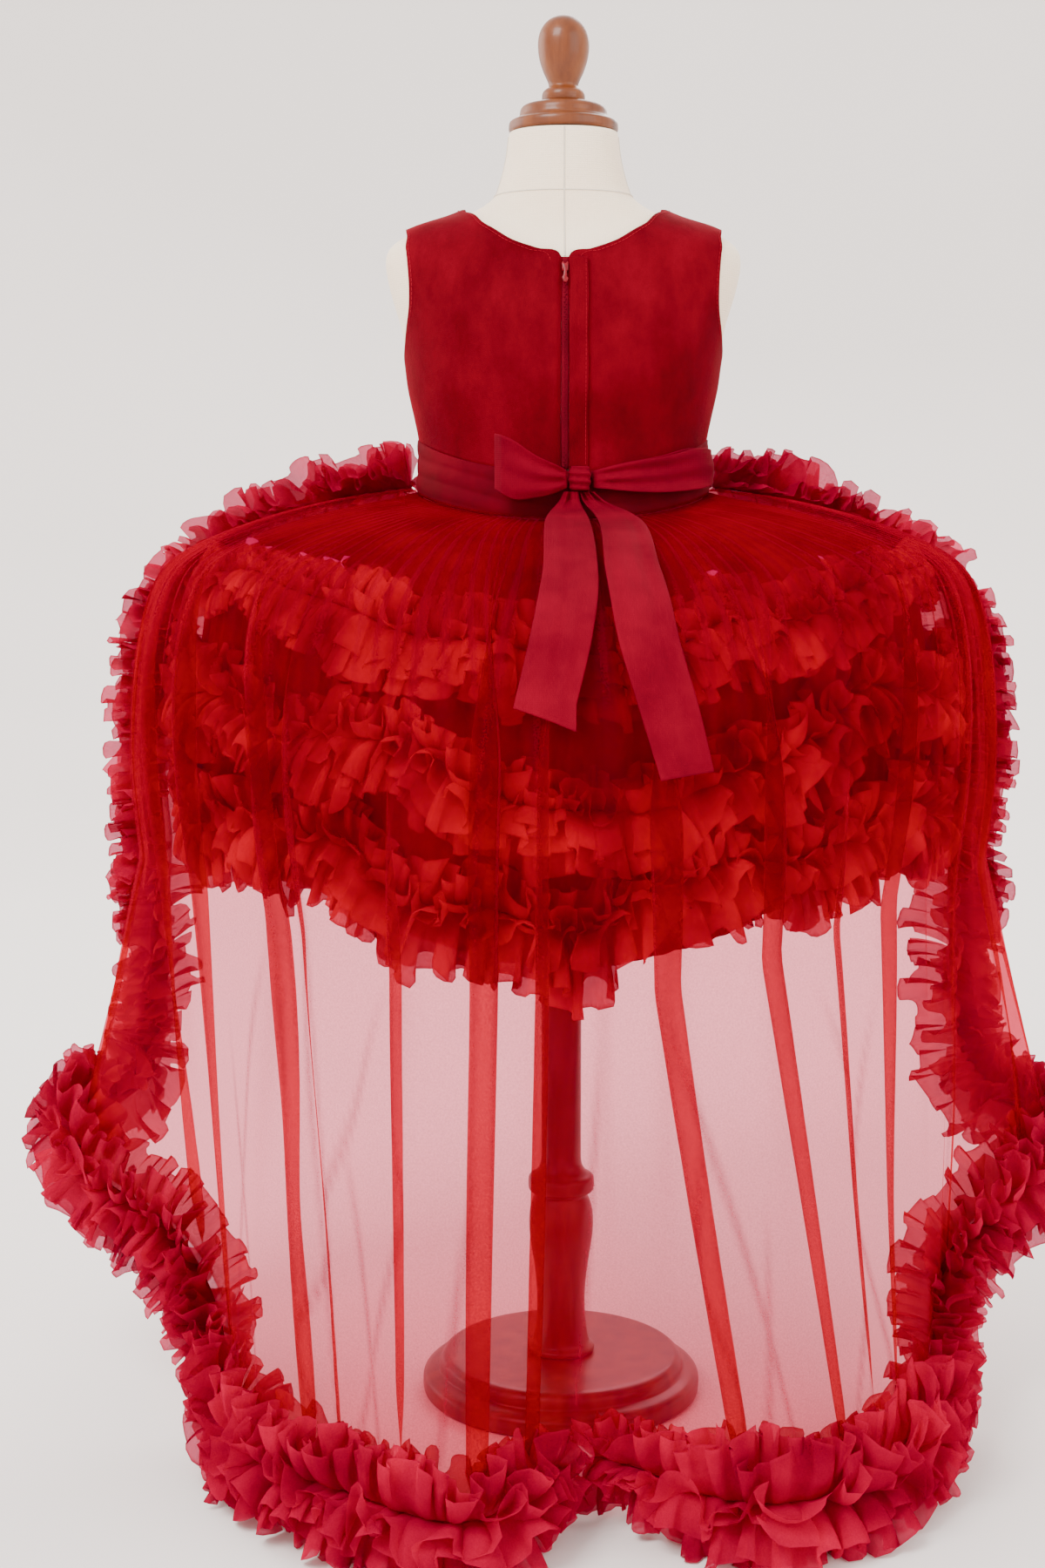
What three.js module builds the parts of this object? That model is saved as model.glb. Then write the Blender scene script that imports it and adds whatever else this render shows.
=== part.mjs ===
// A girl's sleeveless high-low party dress on a limbless dress form with a turned wooden stand.
// Millimetres, +Z up, origin under the middle of the stand's base. The back of the dress, with its
// zip and bow, faces -Y. "Left" and "right" are those of somebody looking at the back: left is -X.
import * as THREE from "three";

// Driving dimensions
const CLOTH = 1.5;
const SEAM_GAP = 0.5;
const FORM_CLEARANCE = 0.9;
const FORM_INSET = 0.9;
const BODICE_OUT = FORM_CLEARANCE + CLOTH;
const BODY_SQUARENESS = 2.2;
const SASH_OUT = 4.6;
const SASH_TOP = { side: 674, back: 651, front: 668 };
const SASH_BOTTOM = { side: 641, back: 622, front: 637 };
const SASH_ROUNDING = 0.8;
const UNDERSKIRT = { sink: 1.8, hem: 374, off: 0.4, gathers: 16, depth: 3 };
// The skirt hangs lower at the middle of the back, and reaches its side height at this turn.
const SKIRT_DROP = { back: 20, side: 28, turn: THREE.MathUtils.degToRad(55) };
const TIERS = [
  { name: "ruffle_tier_1", z: 555, waves: 26, seat: 5.2 },
  { name: "ruffle_tier_2", z: 481, waves: 27, seat: 3.4 },
  { name: "ruffle_tier_3", z: 407, waves: 27, seat: 5 },
];
const TIER_FLAP = { up: 22, down: 42, upOut: 13, downOut: 19, upWave: 5, downWave: 8 };
const TRIM = { waves: 31, flap: 40, swing: 15, thickness: 1.7, splitZ: 300, start: 0.03, end: 0.975 };
// The trim's rows across: which flap, the share of the way to its edge, and degrees off the train.
const TRIM_SECTION = [
  { flap: 1, share: 1, open: 33 },
  { flap: 1, share: 0.5, open: 30 },
  { flap: 0, share: 0, open: 0 },
  { flap: -1, share: 1, open: 43 },
];
// How far the trim's gathered line stands off the train, thickness of the trim included.
const TRIM_SEAT = { front: 2.7, left_hem: 3.7, right_hem: 2.6 };
const TRAIN_THICKNESS = 1.2;
const SECTIONS_PER_WAVE = 3;
const ROUND = { torso: 32, stand: 20, sash: 36, dome: 48, train: 40, knot: 12 };
const TORSO_LEVELS = [
  500, 570, 620, 652, 680, 706, 728, 750, 765, 780, 792, 801, 808, 815, 822, 829, 837, 850, 878,
];
const PULL = { length: 12, width: 4, thickness: 1, z: 783, lean: 0.3 };

// Body of the form at rising heights: half width, and depth to the back and to the front.
const BODY = [
  { z: 500, width: 106, back: 84, front: 80 },
  { z: 560, width: 106, back: 83, front: 79 },
  { z: 610, width: 100, back: 75, front: 76 },
  { z: 652, width: 95, back: 69, front: 73 },
  { z: 674, width: 96.5, back: 70, front: 75 },
  { z: 706, width: 103.5, back: 74, front: 80 },
  { z: 728, width: 106.5, back: 75.5, front: 81 },
  { z: 750, width: 111, back: 74.5, front: 78 },
  { z: 778, width: 119, back: 68, front: 69 },
  { z: 796, width: 121, back: 61, front: 58 },
  { z: 805, width: 116, back: 55, front: 50 },
  { z: 812, width: 103, back: 50, front: 44 },
  { z: 820, width: 78, back: 45, front: 41 },
  { z: 827, width: 61, back: 42, front: 39 },
  { z: 835, width: 49, back: 40, front: 39 },
  { z: 842, width: 45, back: 38.5, front: 38.5 },
  { z: 860, width: 40, back: 37.5, front: 37.5 },
  { z: 878, width: 37.5, back: 36.5, front: 36.5 },
];

// One half of a bodice panel seen flat on: its inner edge, at the centre line and then the
// neckline, and its outer edge, at the side seam and then the armhole, from the waist up.
// A place at the side seam or on the shoulder is wider than the body, and is cut to its width.
const AT_SIDE = 999;
const BACK_EDGES = [
  { inX: 2.6, inZ: 651, outX: AT_SIDE, outZ: 674 },
  { inX: 2.6, inZ: 686, outX: AT_SIDE, outZ: 697 },
  { inX: 2.6, inZ: 722, outX: AT_SIDE, outZ: 719 },
  { inX: 2.6, inZ: 758, outX: 107, outZ: 737 },
  { inX: 2.8, inZ: 790, outX: 104, outZ: 754 },
  { inX: 18, inZ: 795, outX: 103, outZ: 768 },
  { inX: 33, inZ: 800.5, outX: 103.5, outZ: 782 },
  { inX: 50, inZ: 811, outX: 105, outZ: 797 },
  { inX: 61, inZ: 821, outX: 106, outZ: 807 },
  { inX: AT_SIDE, inZ: 828, outX: AT_SIDE, outZ: 812.5 },
];
const FRONT_EDGES = [
  { inX: 0, inZ: 668, outX: AT_SIDE, outZ: 674 },
  { inX: 0, inZ: 695, outX: AT_SIDE, outZ: 697 },
  { inX: 0, inZ: 725, outX: AT_SIDE, outZ: 719 },
  { inX: 0, inZ: 752, outX: 108, outZ: 737 },
  { inX: 0, inZ: 774, outX: 103, outZ: 752 },
  { inX: 20, inZ: 777, outX: 100, outZ: 768 },
  { inX: 38, inZ: 786, outX: 101, outZ: 782 },
  { inX: 52, inZ: 800, outX: 103, outZ: 797 },
  { inX: 60, inZ: 815, outX: 105, outZ: 806 },
  { inX: 64, inZ: 822.5, outX: 106.2, outZ: 810.5 },
  { inX: AT_SIDE, inZ: 828, outX: AT_SIDE, outZ: 812.5 },
];
const FRONT_ROWS_JOINED = 4;
const PANEL_COLUMNS = 7;
// The side seam's gap is a turn about the body, and the shoulder seam's is a small lift.
const SIDE_RADIUS = 100;
const SHOULDER_LIFT = 0.1;

// Dome of the underskirt from the waist seam down to its hem.
const DOME = [
  { z: 350, width: 238, back: 233, front: 233 },
  { z: 385, width: 242, back: 238, front: 238 },
  { z: 430, width: 246, back: 242, front: 242 },
  { z: 480, width: 246, back: 242, front: 242 },
  { z: 525, width: 242, back: 237, front: 237 },
  { z: 562, width: 232, back: 224, front: 224 },
  { z: 590, width: 216, back: 204, front: 204 },
  { z: 612, width: 189, back: 174, front: 174 },
  { z: 628, width: 151, back: 132, front: 134 },
  { z: 637, width: 112, back: 91, front: 93 },
  { z: 641, width: 97.5, back: 74.5, front: 76 },
];
const DOME_TOP = 641;
const DOME_LEVEL = 560;

// How far the train stands off the dome, at the middle of the back and at its front edges.
const TRAIN_LIFT = [
  { z: 350, back: 38, edge: 58, rise: 0 },
  { z: 430, back: 38, edge: 56, rise: 0 },
  { z: 560, back: 36, edge: 42, rise: 0 },
  { z: 590, back: 29, edge: 30, rise: 2 },
  { z: 612, back: 19, edge: 19, rise: 4 },
  { z: 628, back: 10, edge: 10, rise: 4.5 },
  { z: 637, back: 5, edge: 5, rise: 3 },
  { z: 641, back: 3.2, edge: 3.2, rise: 0 },
];
const TRAIN_EDGE_TURN = THREE.MathUtils.degToRad(106);
const TRAIN_DROP_Z = 362;
// Levels of the train's rows: over the dome down to the drop, then shares of the way to the hem.
const TRAIN_DOME_Z = [641, 637, 628, 612, 590, 562, 515, 440, 362];
const TRAIN_DROP_SHARES = [0.3, 0.6, 0.84, 1];

// Hem of the train from its front corner (share 0) to the middle of the back (share 1).
const HEM_LEFT = [
  { share: 0, x: -297, y: 112, z: 246 },
  { share: 0.05, x: -302, y: 102, z: 212 },
  { share: 0.1, x: -315, y: 80, z: 197 },
  { share: 0.16, x: -336, y: 46, z: 197 },
  { share: 0.22, x: -346, y: 12, z: 188 },
  { share: 0.28, x: -326, y: -16, z: 164 },
  { share: 0.34, x: -274, y: -38, z: 136 },
  { share: 0.4, x: -238, y: -64, z: 98 },
  { share: 0.47, x: -221, y: -106, z: 60 },
  { share: 0.55, x: -207, y: -156, z: 39 },
  { share: 0.65, x: -172, y: -216, z: 38 },
  { share: 0.75, x: -128, y: -259, z: 38 },
  { share: 0.84, x: -84, y: -283, z: 38 },
  { share: 0.91, x: -46, y: -277, z: 38 },
  { share: 0.96, x: -22, y: -236, z: 38 },
  { share: 1, x: 0, y: -186, z: 38 },
];
const HEM_RIGHT = [
  { share: 0, x: 297, y: 112, z: 246 },
  { share: 0.05, x: 304, y: 102, z: 210 },
  { share: 0.1, x: 320, y: 80, z: 192 },
  { share: 0.16, x: 342, y: 46, z: 188 },
  { share: 0.22, x: 352, y: 12, z: 178 },
  { share: 0.28, x: 330, y: -14, z: 158 },
  { share: 0.34, x: 288, y: -36, z: 136 },
  { share: 0.4, x: 256, y: -58, z: 102 },
  { share: 0.47, x: 246, y: -92, z: 56 },
  { share: 0.55, x: 234, y: -142, z: 39 },
  { share: 0.65, x: 206, y: -198, z: 38 },
  { share: 0.75, x: 169, y: -241, z: 38 },
  { share: 0.84, x: 124, y: -262, z: 38 },
  { share: 0.91, x: 78, y: -247, z: 38 },
  { share: 0.96, x: 34, y: -210, z: 38 },
  { share: 1, x: 0, y: -186, z: 38 },
];

// Large folds of the train: where each lies on the way from edge to edge, how deep and how wide.
const FOLDS = [
  { share: 0.14, depth: 7, width: 0.05 },
  { share: 0.24, depth: -8, width: 0.04 },
  { share: 0.34, depth: 10, width: 0.045 },
  { share: 0.47, depth: -8, width: 0.04 },
  { share: 0.6, depth: 9, width: 0.05 },
  { share: 0.72, depth: -8, width: 0.04 },
  { share: 0.84, depth: 8, width: 0.04 },
];
const WAIST_GATHERS = { count: 13, depth: 2.2 };

// The bow's loops are folded bands: a layer from the knot to the far end and one back to the knot.
const BOW_LAYERS = [
  { reach: 0, isFront: false }, { reach: 0.24, isFront: false }, { reach: 0.48, isFront: false },
  { reach: 0.72, isFront: false }, { reach: 0.92, isFront: false }, { reach: 0.92, isFront: true },
  { reach: 0.72, isFront: true }, { reach: 0.48, isFront: true }, { reach: 0.24, isFront: true },
  { reach: 0, isFront: true },
];
const BOW_ROWS = 4;
const LOOP_LEFT = [
  { reach: 0, x: 1.4, low: 640, high: 651, backY: -80.5, frontY: -85.5 },
  { reach: 0.34, x: -16, low: 634, high: 659, backY: -81, frontY: -93 },
  { reach: 0.67, x: -32, low: 632, high: 669, backY: -80, frontY: -97 },
  { reach: 1, x: -47, low: 640, high: 675, backY: -79.5, frontY: -91 },
];
const LOOP_RIGHT = [
  { reach: 0, turn: 8.4, low: 640, high: 651, backOut: 5.9, frontOut: 10.5 },
  { reach: 0.34, turn: 31, low: 637, high: 660, backOut: 5.9, frontOut: 13 },
  { reach: 0.67, turn: 52, low: 640, high: 666, backOut: 5.9, frontOut: 13 },
  { reach: 1, turn: 76, low: 645, high: 667, backOut: 5.9, frontOut: 11 },
];
// Edges of the bow's tails at rising heights. The slant is the rise of the end from left to right.
const TAILS = {
  bow_tail_left: [
    { z: 515, left: -33, right: 3, slant: -15 },
    { z: 553, left: -23.5, right: 12.5, slant: 0 },
    { z: 585, left: -16, right: 17, slant: 0 },
    { z: 616, left: -10, right: 11, slant: 0 },
    { z: 637, left: -1, right: 8.5, slant: 0 },
  ],
  bow_tail_right: [
    { z: 476, left: 51, right: 84, slant: 9 },
    { z: 520, left: 37, right: 73, slant: 0 },
    { z: 553, left: 27, right: 63, slant: 0 },
    { z: 585, left: 21.5, right: 55, slant: 0 },
    { z: 616, left: 16, right: 40, slant: 0 },
    { z: 637, left: 9.5, right: 18, slant: 0 },
  ],
};
// A tail lies on the train up to its top, and its last two rows lie on the sash.
const TAIL = { top: 618, off: 4.2, columns: 4, rowsOnTrain: 9, onSash: [629, 637.5], sashOff: 2.2, lift: 3 };
const KNOT = {
  x: 9.5,
  y: -82,
  width: 7.5,
  depth: 7,
  rows: [
    { z: 638, size: 0.78 },
    { z: 641, size: 0.97 },
    { z: 646, size: 1 },
    { z: 651, size: 0.97 },
    { z: 654, size: 0.75 },
  ],
};

// Turned profiles: height and radius.
const BASE_PROFILE = [
  [0, 0], [0, 96], [3, 99], [11, 99], [15, 95], [17, 87.5], [24, 85.5], [27, 81], [27, 0],
];
const POST_PROFILE = [
  [27.3, 0], [27.3, 23], [32, 24], [34, 20], [52, 17.3], [75, 17.3], [98, 20], [122, 23], [139, 20.5],
  [143, 18.5], [147, 23.3], [155, 23.3], [160, 17], [165, 14], [499.7, 14], [499.7, 0],
];
const CAP_PROFILE = [
  [878.3, 0], [878.3, 36], [881, 37], [885, 36.5], [888.5, 30], [894, 29], [897, 25], [897, 0],
];
const FINIAL_PROFILE = [
  [897.3, 0], [897.3, 12.5], [900, 14.5], [905, 14], [908.5, 9.8], [919, 14.2], [928, 16.8], [937, 17.5],
  [945, 15.8], [952, 10.5], [956, 0],
];

const clamp = THREE.MathUtils.clamp;
const lerp = THREE.MathUtils.lerp;
const smooth = (value, low, high) => THREE.MathUtils.smoothstep(value, low, high);
const vec = (x, y, z) => new THREE.Vector3(x, y, z);

// Every column of a table at one value of its rising key column, on a smooth curve.
function along(rows, key, at) {
  const last = rows.length - 1;
  let from = 0;
  while (from < last - 1 && rows[from + 1][key] <= at) from += 1;
  const span = rows[from + 1][key] - rows[from][key];
  const t = clamp((at - rows[from][key]) / span, 0, 1);
  const slope = (i, column) => {
    const below = rows[Math.max(0, i - 1)];
    const above = rows[Math.min(last, i + 1)];
    return (above[column] - below[column]) / (above[key] - below[key]);
  };
  const result = {};
  for (const column of Object.keys(rows[0])) {
    const rise = rows[from + 1][column] - rows[from][column];
    const start = slope(from, column) * span;
    const end = slope(from + 1, column) * span;
    const bend = t * (1 - t) * ((1 - t) * (start - rise) + t * (rise - end));
    result[column] = rows[from][column] + t * rise + bend;
  }
  return result;
}

const power = (value, exponent) => Math.sign(value) * Math.abs(value) ** exponent;

// A point of an oval ring. The turn is 0 at the middle of the back and grows towards +X.
function ovalPoint(ring, turn, out, z, squareness = BODY_SQUARENESS) {
  const exponent = 2 / squareness;
  const depth = Math.cos(turn) > 0 ? ring.back : ring.front;
  const x = (ring.width + out) * power(Math.sin(turn), exponent);
  const y = -(depth + out) * power(Math.cos(turn), exponent);
  return vec(x, y, z);
}

// The form's surface moved out. The shift in height keeps the distance over the shoulders.
const bodyPoint = (turn, z, out) => ovalPoint(along(BODY, "z", z - out), turn, out, z);

function bodyTurnAt(x, z, out) {
  const width = along(BODY, "z", z - out).width + out;
  return Math.asin(Math.min(1, (x / width) ** (BODY_SQUARENESS / 2)));
}

const backShare = (turn) => Math.max(0, Math.cos(turn)) ** 1.5;
const frontShare = (turn) => Math.max(0, -Math.cos(turn)) ** 1.5;

function waistLine(line, turn) {
  return line.side + (line.back - line.side) * backShare(turn) + (line.front - line.side) * frontShare(turn);
}

function domePoint(turn, level, out) {
  const sag = DOME_TOP + SEAM_GAP - waistLine(SASH_BOTTOM, turn);
  const fromBack = Math.acos(Math.cos(turn));
  const shift = lerp(-SKIRT_DROP.back, SKIRT_DROP.side, smooth(fromBack, 0, SKIRT_DROP.turn));
  const z = level - sag * smooth(level, DOME_LEVEL, DOME_TOP) + shift * (1 - smooth(level, 540, 636));
  const squareness = lerp(2, BODY_SQUARENESS, smooth(level, 600, DOME_TOP));
  return ovalPoint(along(DOME, "z", level), turn, out, z, squareness);
}

// The dome's level whose point lies at a height.
function levelAt(turn, height) {
  let level = height;
  for (let round = 0; round < 12; round += 1) level += height - domePoint(turn, level, 0).z;
  return Math.min(level, DOME_TOP);
}

// Closed surfaces are gathered as plain triangles.
const addQuad = (faces, a, b, c, d) => faces.push(a, b, c, a, c, d);

// A wall between two grids of points, [column][row]. Columns step across rows so that
// column step x row step points outwards. The first joinedRows rows of column 0 get no rim.
function wallBetween(outer, inner, { wrap = false, joinedRows = 0 } = {}) {
  const faces = [];
  const columns = outer.length;
  const lastRow = outer[0].length - 1;
  const steps = wrap ? columns : columns - 1;
  for (let i = 0; i < steps; i += 1) {
    const k = (i + 1) % columns;
    for (let j = 0; j < lastRow; j += 1) {
      addQuad(faces, outer[i][j], outer[k][j], outer[k][j + 1], outer[i][j + 1]);
      addQuad(faces, inner[i][j], inner[i][j + 1], inner[k][j + 1], inner[k][j]);
    }
    addQuad(faces, outer[k][0], outer[i][0], inner[i][0], inner[k][0]);
    addQuad(faces, outer[i][lastRow], outer[k][lastRow], inner[k][lastRow], inner[i][lastRow]);
  }
  if (!wrap) {
    const last = columns - 1;
    for (let j = 0; j < lastRow; j += 1) {
      if (j >= joinedRows) addQuad(faces, outer[0][j], outer[0][j + 1], inner[0][j + 1], inner[0][j]);
      addQuad(faces, outer[last][j + 1], outer[last][j], inner[last][j], inner[last][j + 1]);
    }
  }
  return faces;
}

// The same grid moved in against its own normals.
function movedIn(grid, distance, wrap = false) {
  const columns = grid.length;
  const lastRow = grid[0].length - 1;
  const column = (i) => (wrap ? grid[(i + columns) % columns] : grid[clamp(i, 0, columns - 1)]);
  return grid.map((points, i) =>
    points.map((point, j) => {
      const across = column(i + 1)[j].clone().sub(column(i - 1)[j]);
      const up = points[Math.min(lastRow, j + 1)].clone().sub(points[Math.max(0, j - 1)]);
      return point.clone().addScaledVector(across.cross(up).normalize(), -distance);
    }),
  );
}

function wall(grid, thickness, options = {}) {
  return wallBetween(grid, movedIn(grid, thickness, options.wrap), options);
}

const gridOf = (columns, rows, pointAt) =>
  Array.from({ length: columns }, (_, i) => Array.from({ length: rows }, (_, j) => pointAt(i, j)));

function flipped(faces) {
  const result = [];
  for (let i = 0; i < faces.length; i += 3) result.push(faces[i], faces[i + 2], faces[i + 1]);
  return result;
}

const mirrored = (faces) => flipped(faces.map((p) => vec(-p.x, p.y, p.z)));

// A solid through rings of points from the bottom up, closed by flat ends.
function loft(rings) {
  const faces = [];
  const count = rings[0].length;
  const middle = (ring) => ring.reduce((sum, p) => sum.add(p), vec(0, 0, 0)).divideScalar(count);
  const [bottom, top] = [middle(rings[0]), middle(rings.at(-1))];
  for (let i = 0; i < count; i += 1) {
    const k = (i + 1) % count;
    for (let j = 0; j < rings.length - 1; j += 1) {
      addQuad(faces, rings[j][i], rings[j][k], rings[j + 1][k], rings[j + 1][i]);
    }
    faces.push(bottom, rings[0][k], rings[0][i], top, rings.at(-1)[i], rings.at(-1)[k]);
  }
  return faces;
}

function geometryOf(faces) {
  const geometry = new THREE.BufferGeometry();
  const positions = new Float32Array(faces.flatMap((p) => [p.x, p.y, p.z]));
  geometry.setAttribute("position", new THREE.BufferAttribute(positions, 3));
  geometry.computeVertexNormals();
  return geometry;
}

function turned(profile) {
  const points = profile.map(([height, radius]) => new THREE.Vector2(radius, height));
  return new THREE.LatheGeometry(points, ROUND.stand).rotateX(Math.PI / 2);
}

const MATERIALS = {
  wood: { color: 0x8a4b22, roughness: 0.35, metalness: 0 },
  linen: { color: 0xe6dccb, roughness: 0.9, metalness: 0 },
  velvet: { color: 0x9a0418, roughness: 0.85, metalness: 0 },
  sash: { color: 0xaf0722, roughness: 0.6, metalness: 0 },
  bow: { color: 0xc4152c, roughness: 0.7, metalness: 0 },
  ruffle: { color: 0xb9061f, roughness: 0.8, metalness: 0 },
  train: { color: 0xd88a86, roughness: 0.8, metalness: 0 },
  zip: { color: 0x7c0a18, roughness: 0.4, metalness: 0.4 },
};

const dress = new THREE.Group();

function add(name, geometry, materialName) {
  const mesh = new THREE.Mesh(geometry, new THREE.MeshStandardMaterial(MATERIALS[materialName]));
  mesh.name = name;
  dress.add(mesh);
}

function addStand() {
  add("stand_base", turned(BASE_PROFILE), "wood");
  add("stand_post", turned(POST_PROFILE), "wood");
  add("neck_cap", turned(CAP_PROFILE), "wood");
  add("finial", turned(FINIAL_PROFILE), "wood");
}

function addTorso() {
  const ring = (z) =>
    Array.from({ length: ROUND.torso }, (_, i) => bodyPoint((i * 2 * Math.PI) / ROUND.torso, z, -FORM_INSET));
  add("form_torso", geometryOf(loft(TORSO_LEVELS.map(ring))), "linen");
}

// One half of a bodice panel on the +X side, from its inner edge (column 0) to its outer edge.
function panelGrid(edges, isBack, out) {
  return gridOf(PANEL_COLUMNS + 1, edges.length, (i, j) => {
    const row = edges[j];
    const share = i / PANEL_COLUMNS;
    const nearSide = smooth(share, 0.7, 1);
    const sideGap = (SEAM_GAP / 2 / SIDE_RADIUS) * nearSide;
    const turn = lerp(bodyTurnAt(row.inX, row.inZ, out), bodyTurnAt(row.outX, row.outZ, out), share);
    const around = isBack ? turn : Math.PI - turn;
    const lift = j === edges.length - 1 ? SHOULDER_LIFT * nearSide : 0;
    const waist = waistLine(SASH_TOP, around) + SEAM_GAP - lerp(edges[0].inZ, edges[0].outZ, share);
    const z = lerp(row.inZ, row.outZ, share) + waist * clamp(1 - j / 2, 0, 1);
    return bodyPoint(around + (isBack ? -sideGap : sideGap), z, out + lift);
  });
}

function addBodice() {
  const backAt = (out) => panelGrid(BACK_EDGES, true, out);
  const back = wallBetween(backAt(BODICE_OUT), backAt(FORM_CLEARANCE));
  add("bodice_back_right", geometryOf(back), "velvet");
  add("bodice_back_left", geometryOf(mirrored(back)), "velvet");
  const outer = panelGrid(FRONT_EDGES, false, BODICE_OUT);
  const inner = panelGrid(FRONT_EDGES, false, FORM_CLEARANCE);
  const half = flipped(wallBetween(outer, inner, { joinedRows: FRONT_ROWS_JOINED }));
  add("bodice_front", geometryOf([...half, ...mirrored(half)]), "velvet");
}

// Zip at the centre back: its tape between the panels, a placket beside it, the slider and the pull.
function addZip() {
  const strip = (fromX, toX, low, high, out, thickness, rows) => {
    const gridAt = (distance) =>
      gridOf(3, rows, (i, j) => {
        const x = lerp(fromX, toX, i / 2);
        const z = lerp(low, high, j / (rows - 1));
        const depth = along(BODY, "z", z - distance).back + distance;
        const width = along(BODY, "z", z - distance).width + distance;
        return vec(x, -depth * (1 - (Math.abs(x) / width) ** BODY_SQUARENESS) ** (1 / BODY_SQUARENESS), z);
      });
    return geometryOf(wallBetween(gridAt(out), gridAt(out - thickness)));
  };
  add("zip_tape", strip(-2, 2, 652.5, 789, FORM_CLEARANCE + 1, 0.8, 7), "zip");
  add("zip_placket", strip(2.9, 15, 653.5, 789, BODICE_OUT + 1.9, 1, 8), "velvet");
  const surface = along(BODY, "z", PULL.z).back;
  const sliderShape = new THREE.Shape();
  sliderShape.moveTo(-1.9, -4);
  sliderShape.lineTo(1.9, -4);
  sliderShape.lineTo(2.2, 2);
  sliderShape.lineTo(-2.2, 2);
  const slider = new THREE.ExtrudeGeometry(sliderShape, { depth: 2.4, bevelEnabled: false });
  slider.rotateX(Math.PI / 2 - PULL.lean).translate(0, -(surface + 4), PULL.z);
  add("zip_slider", slider, "zip");
  const pullShape = new THREE.Shape();
  pullShape.moveTo(-0.9, 0);
  pullShape.lineTo(-PULL.width / 2, -PULL.length * 0.72);
  pullShape.quadraticCurveTo(-PULL.width / 2, -PULL.length, 0, -PULL.length);
  pullShape.quadraticCurveTo(PULL.width / 2, -PULL.length, PULL.width / 2, -PULL.length * 0.72);
  pullShape.lineTo(0.9, 0);
  const pull = new THREE.ExtrudeGeometry(pullShape, {
    depth: PULL.thickness,
    bevelEnabled: false,
    curveSegments: 4,
  });
  pull.translate(0, 0, -PULL.thickness / 2);
  add("zip_pull", pull.rotateX(Math.PI / 2 - PULL.lean).translate(0, -(surface + 7.2), PULL.z), "zip");
}

function addSash() {
  const rows = [
    { share: 0, out: SASH_OUT - SASH_ROUNDING },
    { share: 0.5, out: SASH_OUT },
    { share: 1, out: SASH_OUT - SASH_ROUNDING },
  ];
  const grid = (outAt) =>
    gridOf(ROUND.sash, rows.length, (i, j) => {
      const turn = (i * 2 * Math.PI) / ROUND.sash;
      const z = lerp(waistLine(SASH_BOTTOM, turn), waistLine(SASH_TOP, turn), rows[j].share);
      return bodyPoint(turn, z, outAt(rows[j]));
    });
  const faces = wallBetween(grid((row) => row.out), grid(() => FORM_CLEARANCE), { wrap: true });
  add("sash_band", geometryOf(faces), "sash");
}

// A point of a bow's tail, across from its left edge, in a row counted from the tail's end.
function tailPoint(rows, across, rowNumber) {
  if (rowNumber >= TAIL.rowsOnTrain) {
    const z = TAIL.onSash[rowNumber - TAIL.rowsOnTrain];
    const row = along(rows, "z", z);
    const x = lerp(row.left, row.right, across);
    return bodyPoint(bodyTurnAt(Math.abs(x), z, SASH_OUT) * Math.sign(x), z, SASH_OUT + TAIL.sashOff);
  }
  const down = 1 - rowNumber / (TAIL.rowsOnTrain - 1);
  const height = lerp(TAIL.top, rows[0].z + rows[0].slant * across, down ** 1.35);
  const row = along(rows, "z", height);
  const x = lerp(row.left, row.right, across);
  const level = levelAt(x / SIDE_RADIUS / 2, height);
  const lift = along(TRAIN_LIFT, "z", level);
  const nearKnot = smooth(height, 580, TAIL.top);
  const out = lift.back + TAIL.off + TAIL.lift * nearKnot;
  const point = domePoint(Math.asin(x / (along(DOME, "z", level).width + out)), level, out);
  point.z += lift.rise + TAIL.lift * nearKnot;
  return point;
}

// Bow at the centre back: loops, tails and, last, the knot that holds them.
function addBow() {
  const loop = (name, pointAt) => {
    const grid = gridOf(BOW_LAYERS.length, BOW_ROWS, (i, j) => pointAt(BOW_LAYERS[i], j / (BOW_ROWS - 1)));
    add(name, geometryOf(wall(grid, CLOTH)), "bow");
  };
  loop("bow_loop_left", ({ reach, isFront }, up) => {
    const row = along(LOOP_LEFT, "reach", reach);
    return vec(row.x, isFront ? row.frontY : row.backY, lerp(row.low, row.high, up));
  });
  loop("bow_loop_right", ({ reach, isFront }, up) => {
    const row = along(LOOP_RIGHT, "reach", reach);
    const z = lerp(row.low, row.high, up);
    return bodyPoint(THREE.MathUtils.degToRad(row.turn), z, isFront ? row.backOut : row.frontOut);
  });
  for (const [name, rows] of Object.entries(TAILS)) {
    const grid = gridOf(TAIL.columns, TAIL.rowsOnTrain + TAIL.onSash.length, (i, j) =>
      tailPoint(rows, i / (TAIL.columns - 1), j),
    );
    add(name, geometryOf(wall(grid, TRAIN_THICKNESS)), "bow");
  }
  const knotRings = KNOT.rows.map((row) =>
    Array.from({ length: ROUND.knot }, (_, i) => {
      const turn = (i * 2 * Math.PI) / ROUND.knot;
      const ring = { width: KNOT.width * row.size, back: KNOT.depth * row.size, front: KNOT.depth * row.size };
      return ovalPoint(ring, turn, 0, row.z, 3).add(vec(KNOT.x, KNOT.y, 0));
    }),
  );
  add("bow_knot", geometryOf(loft(knotRings)), "bow");
}

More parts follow.
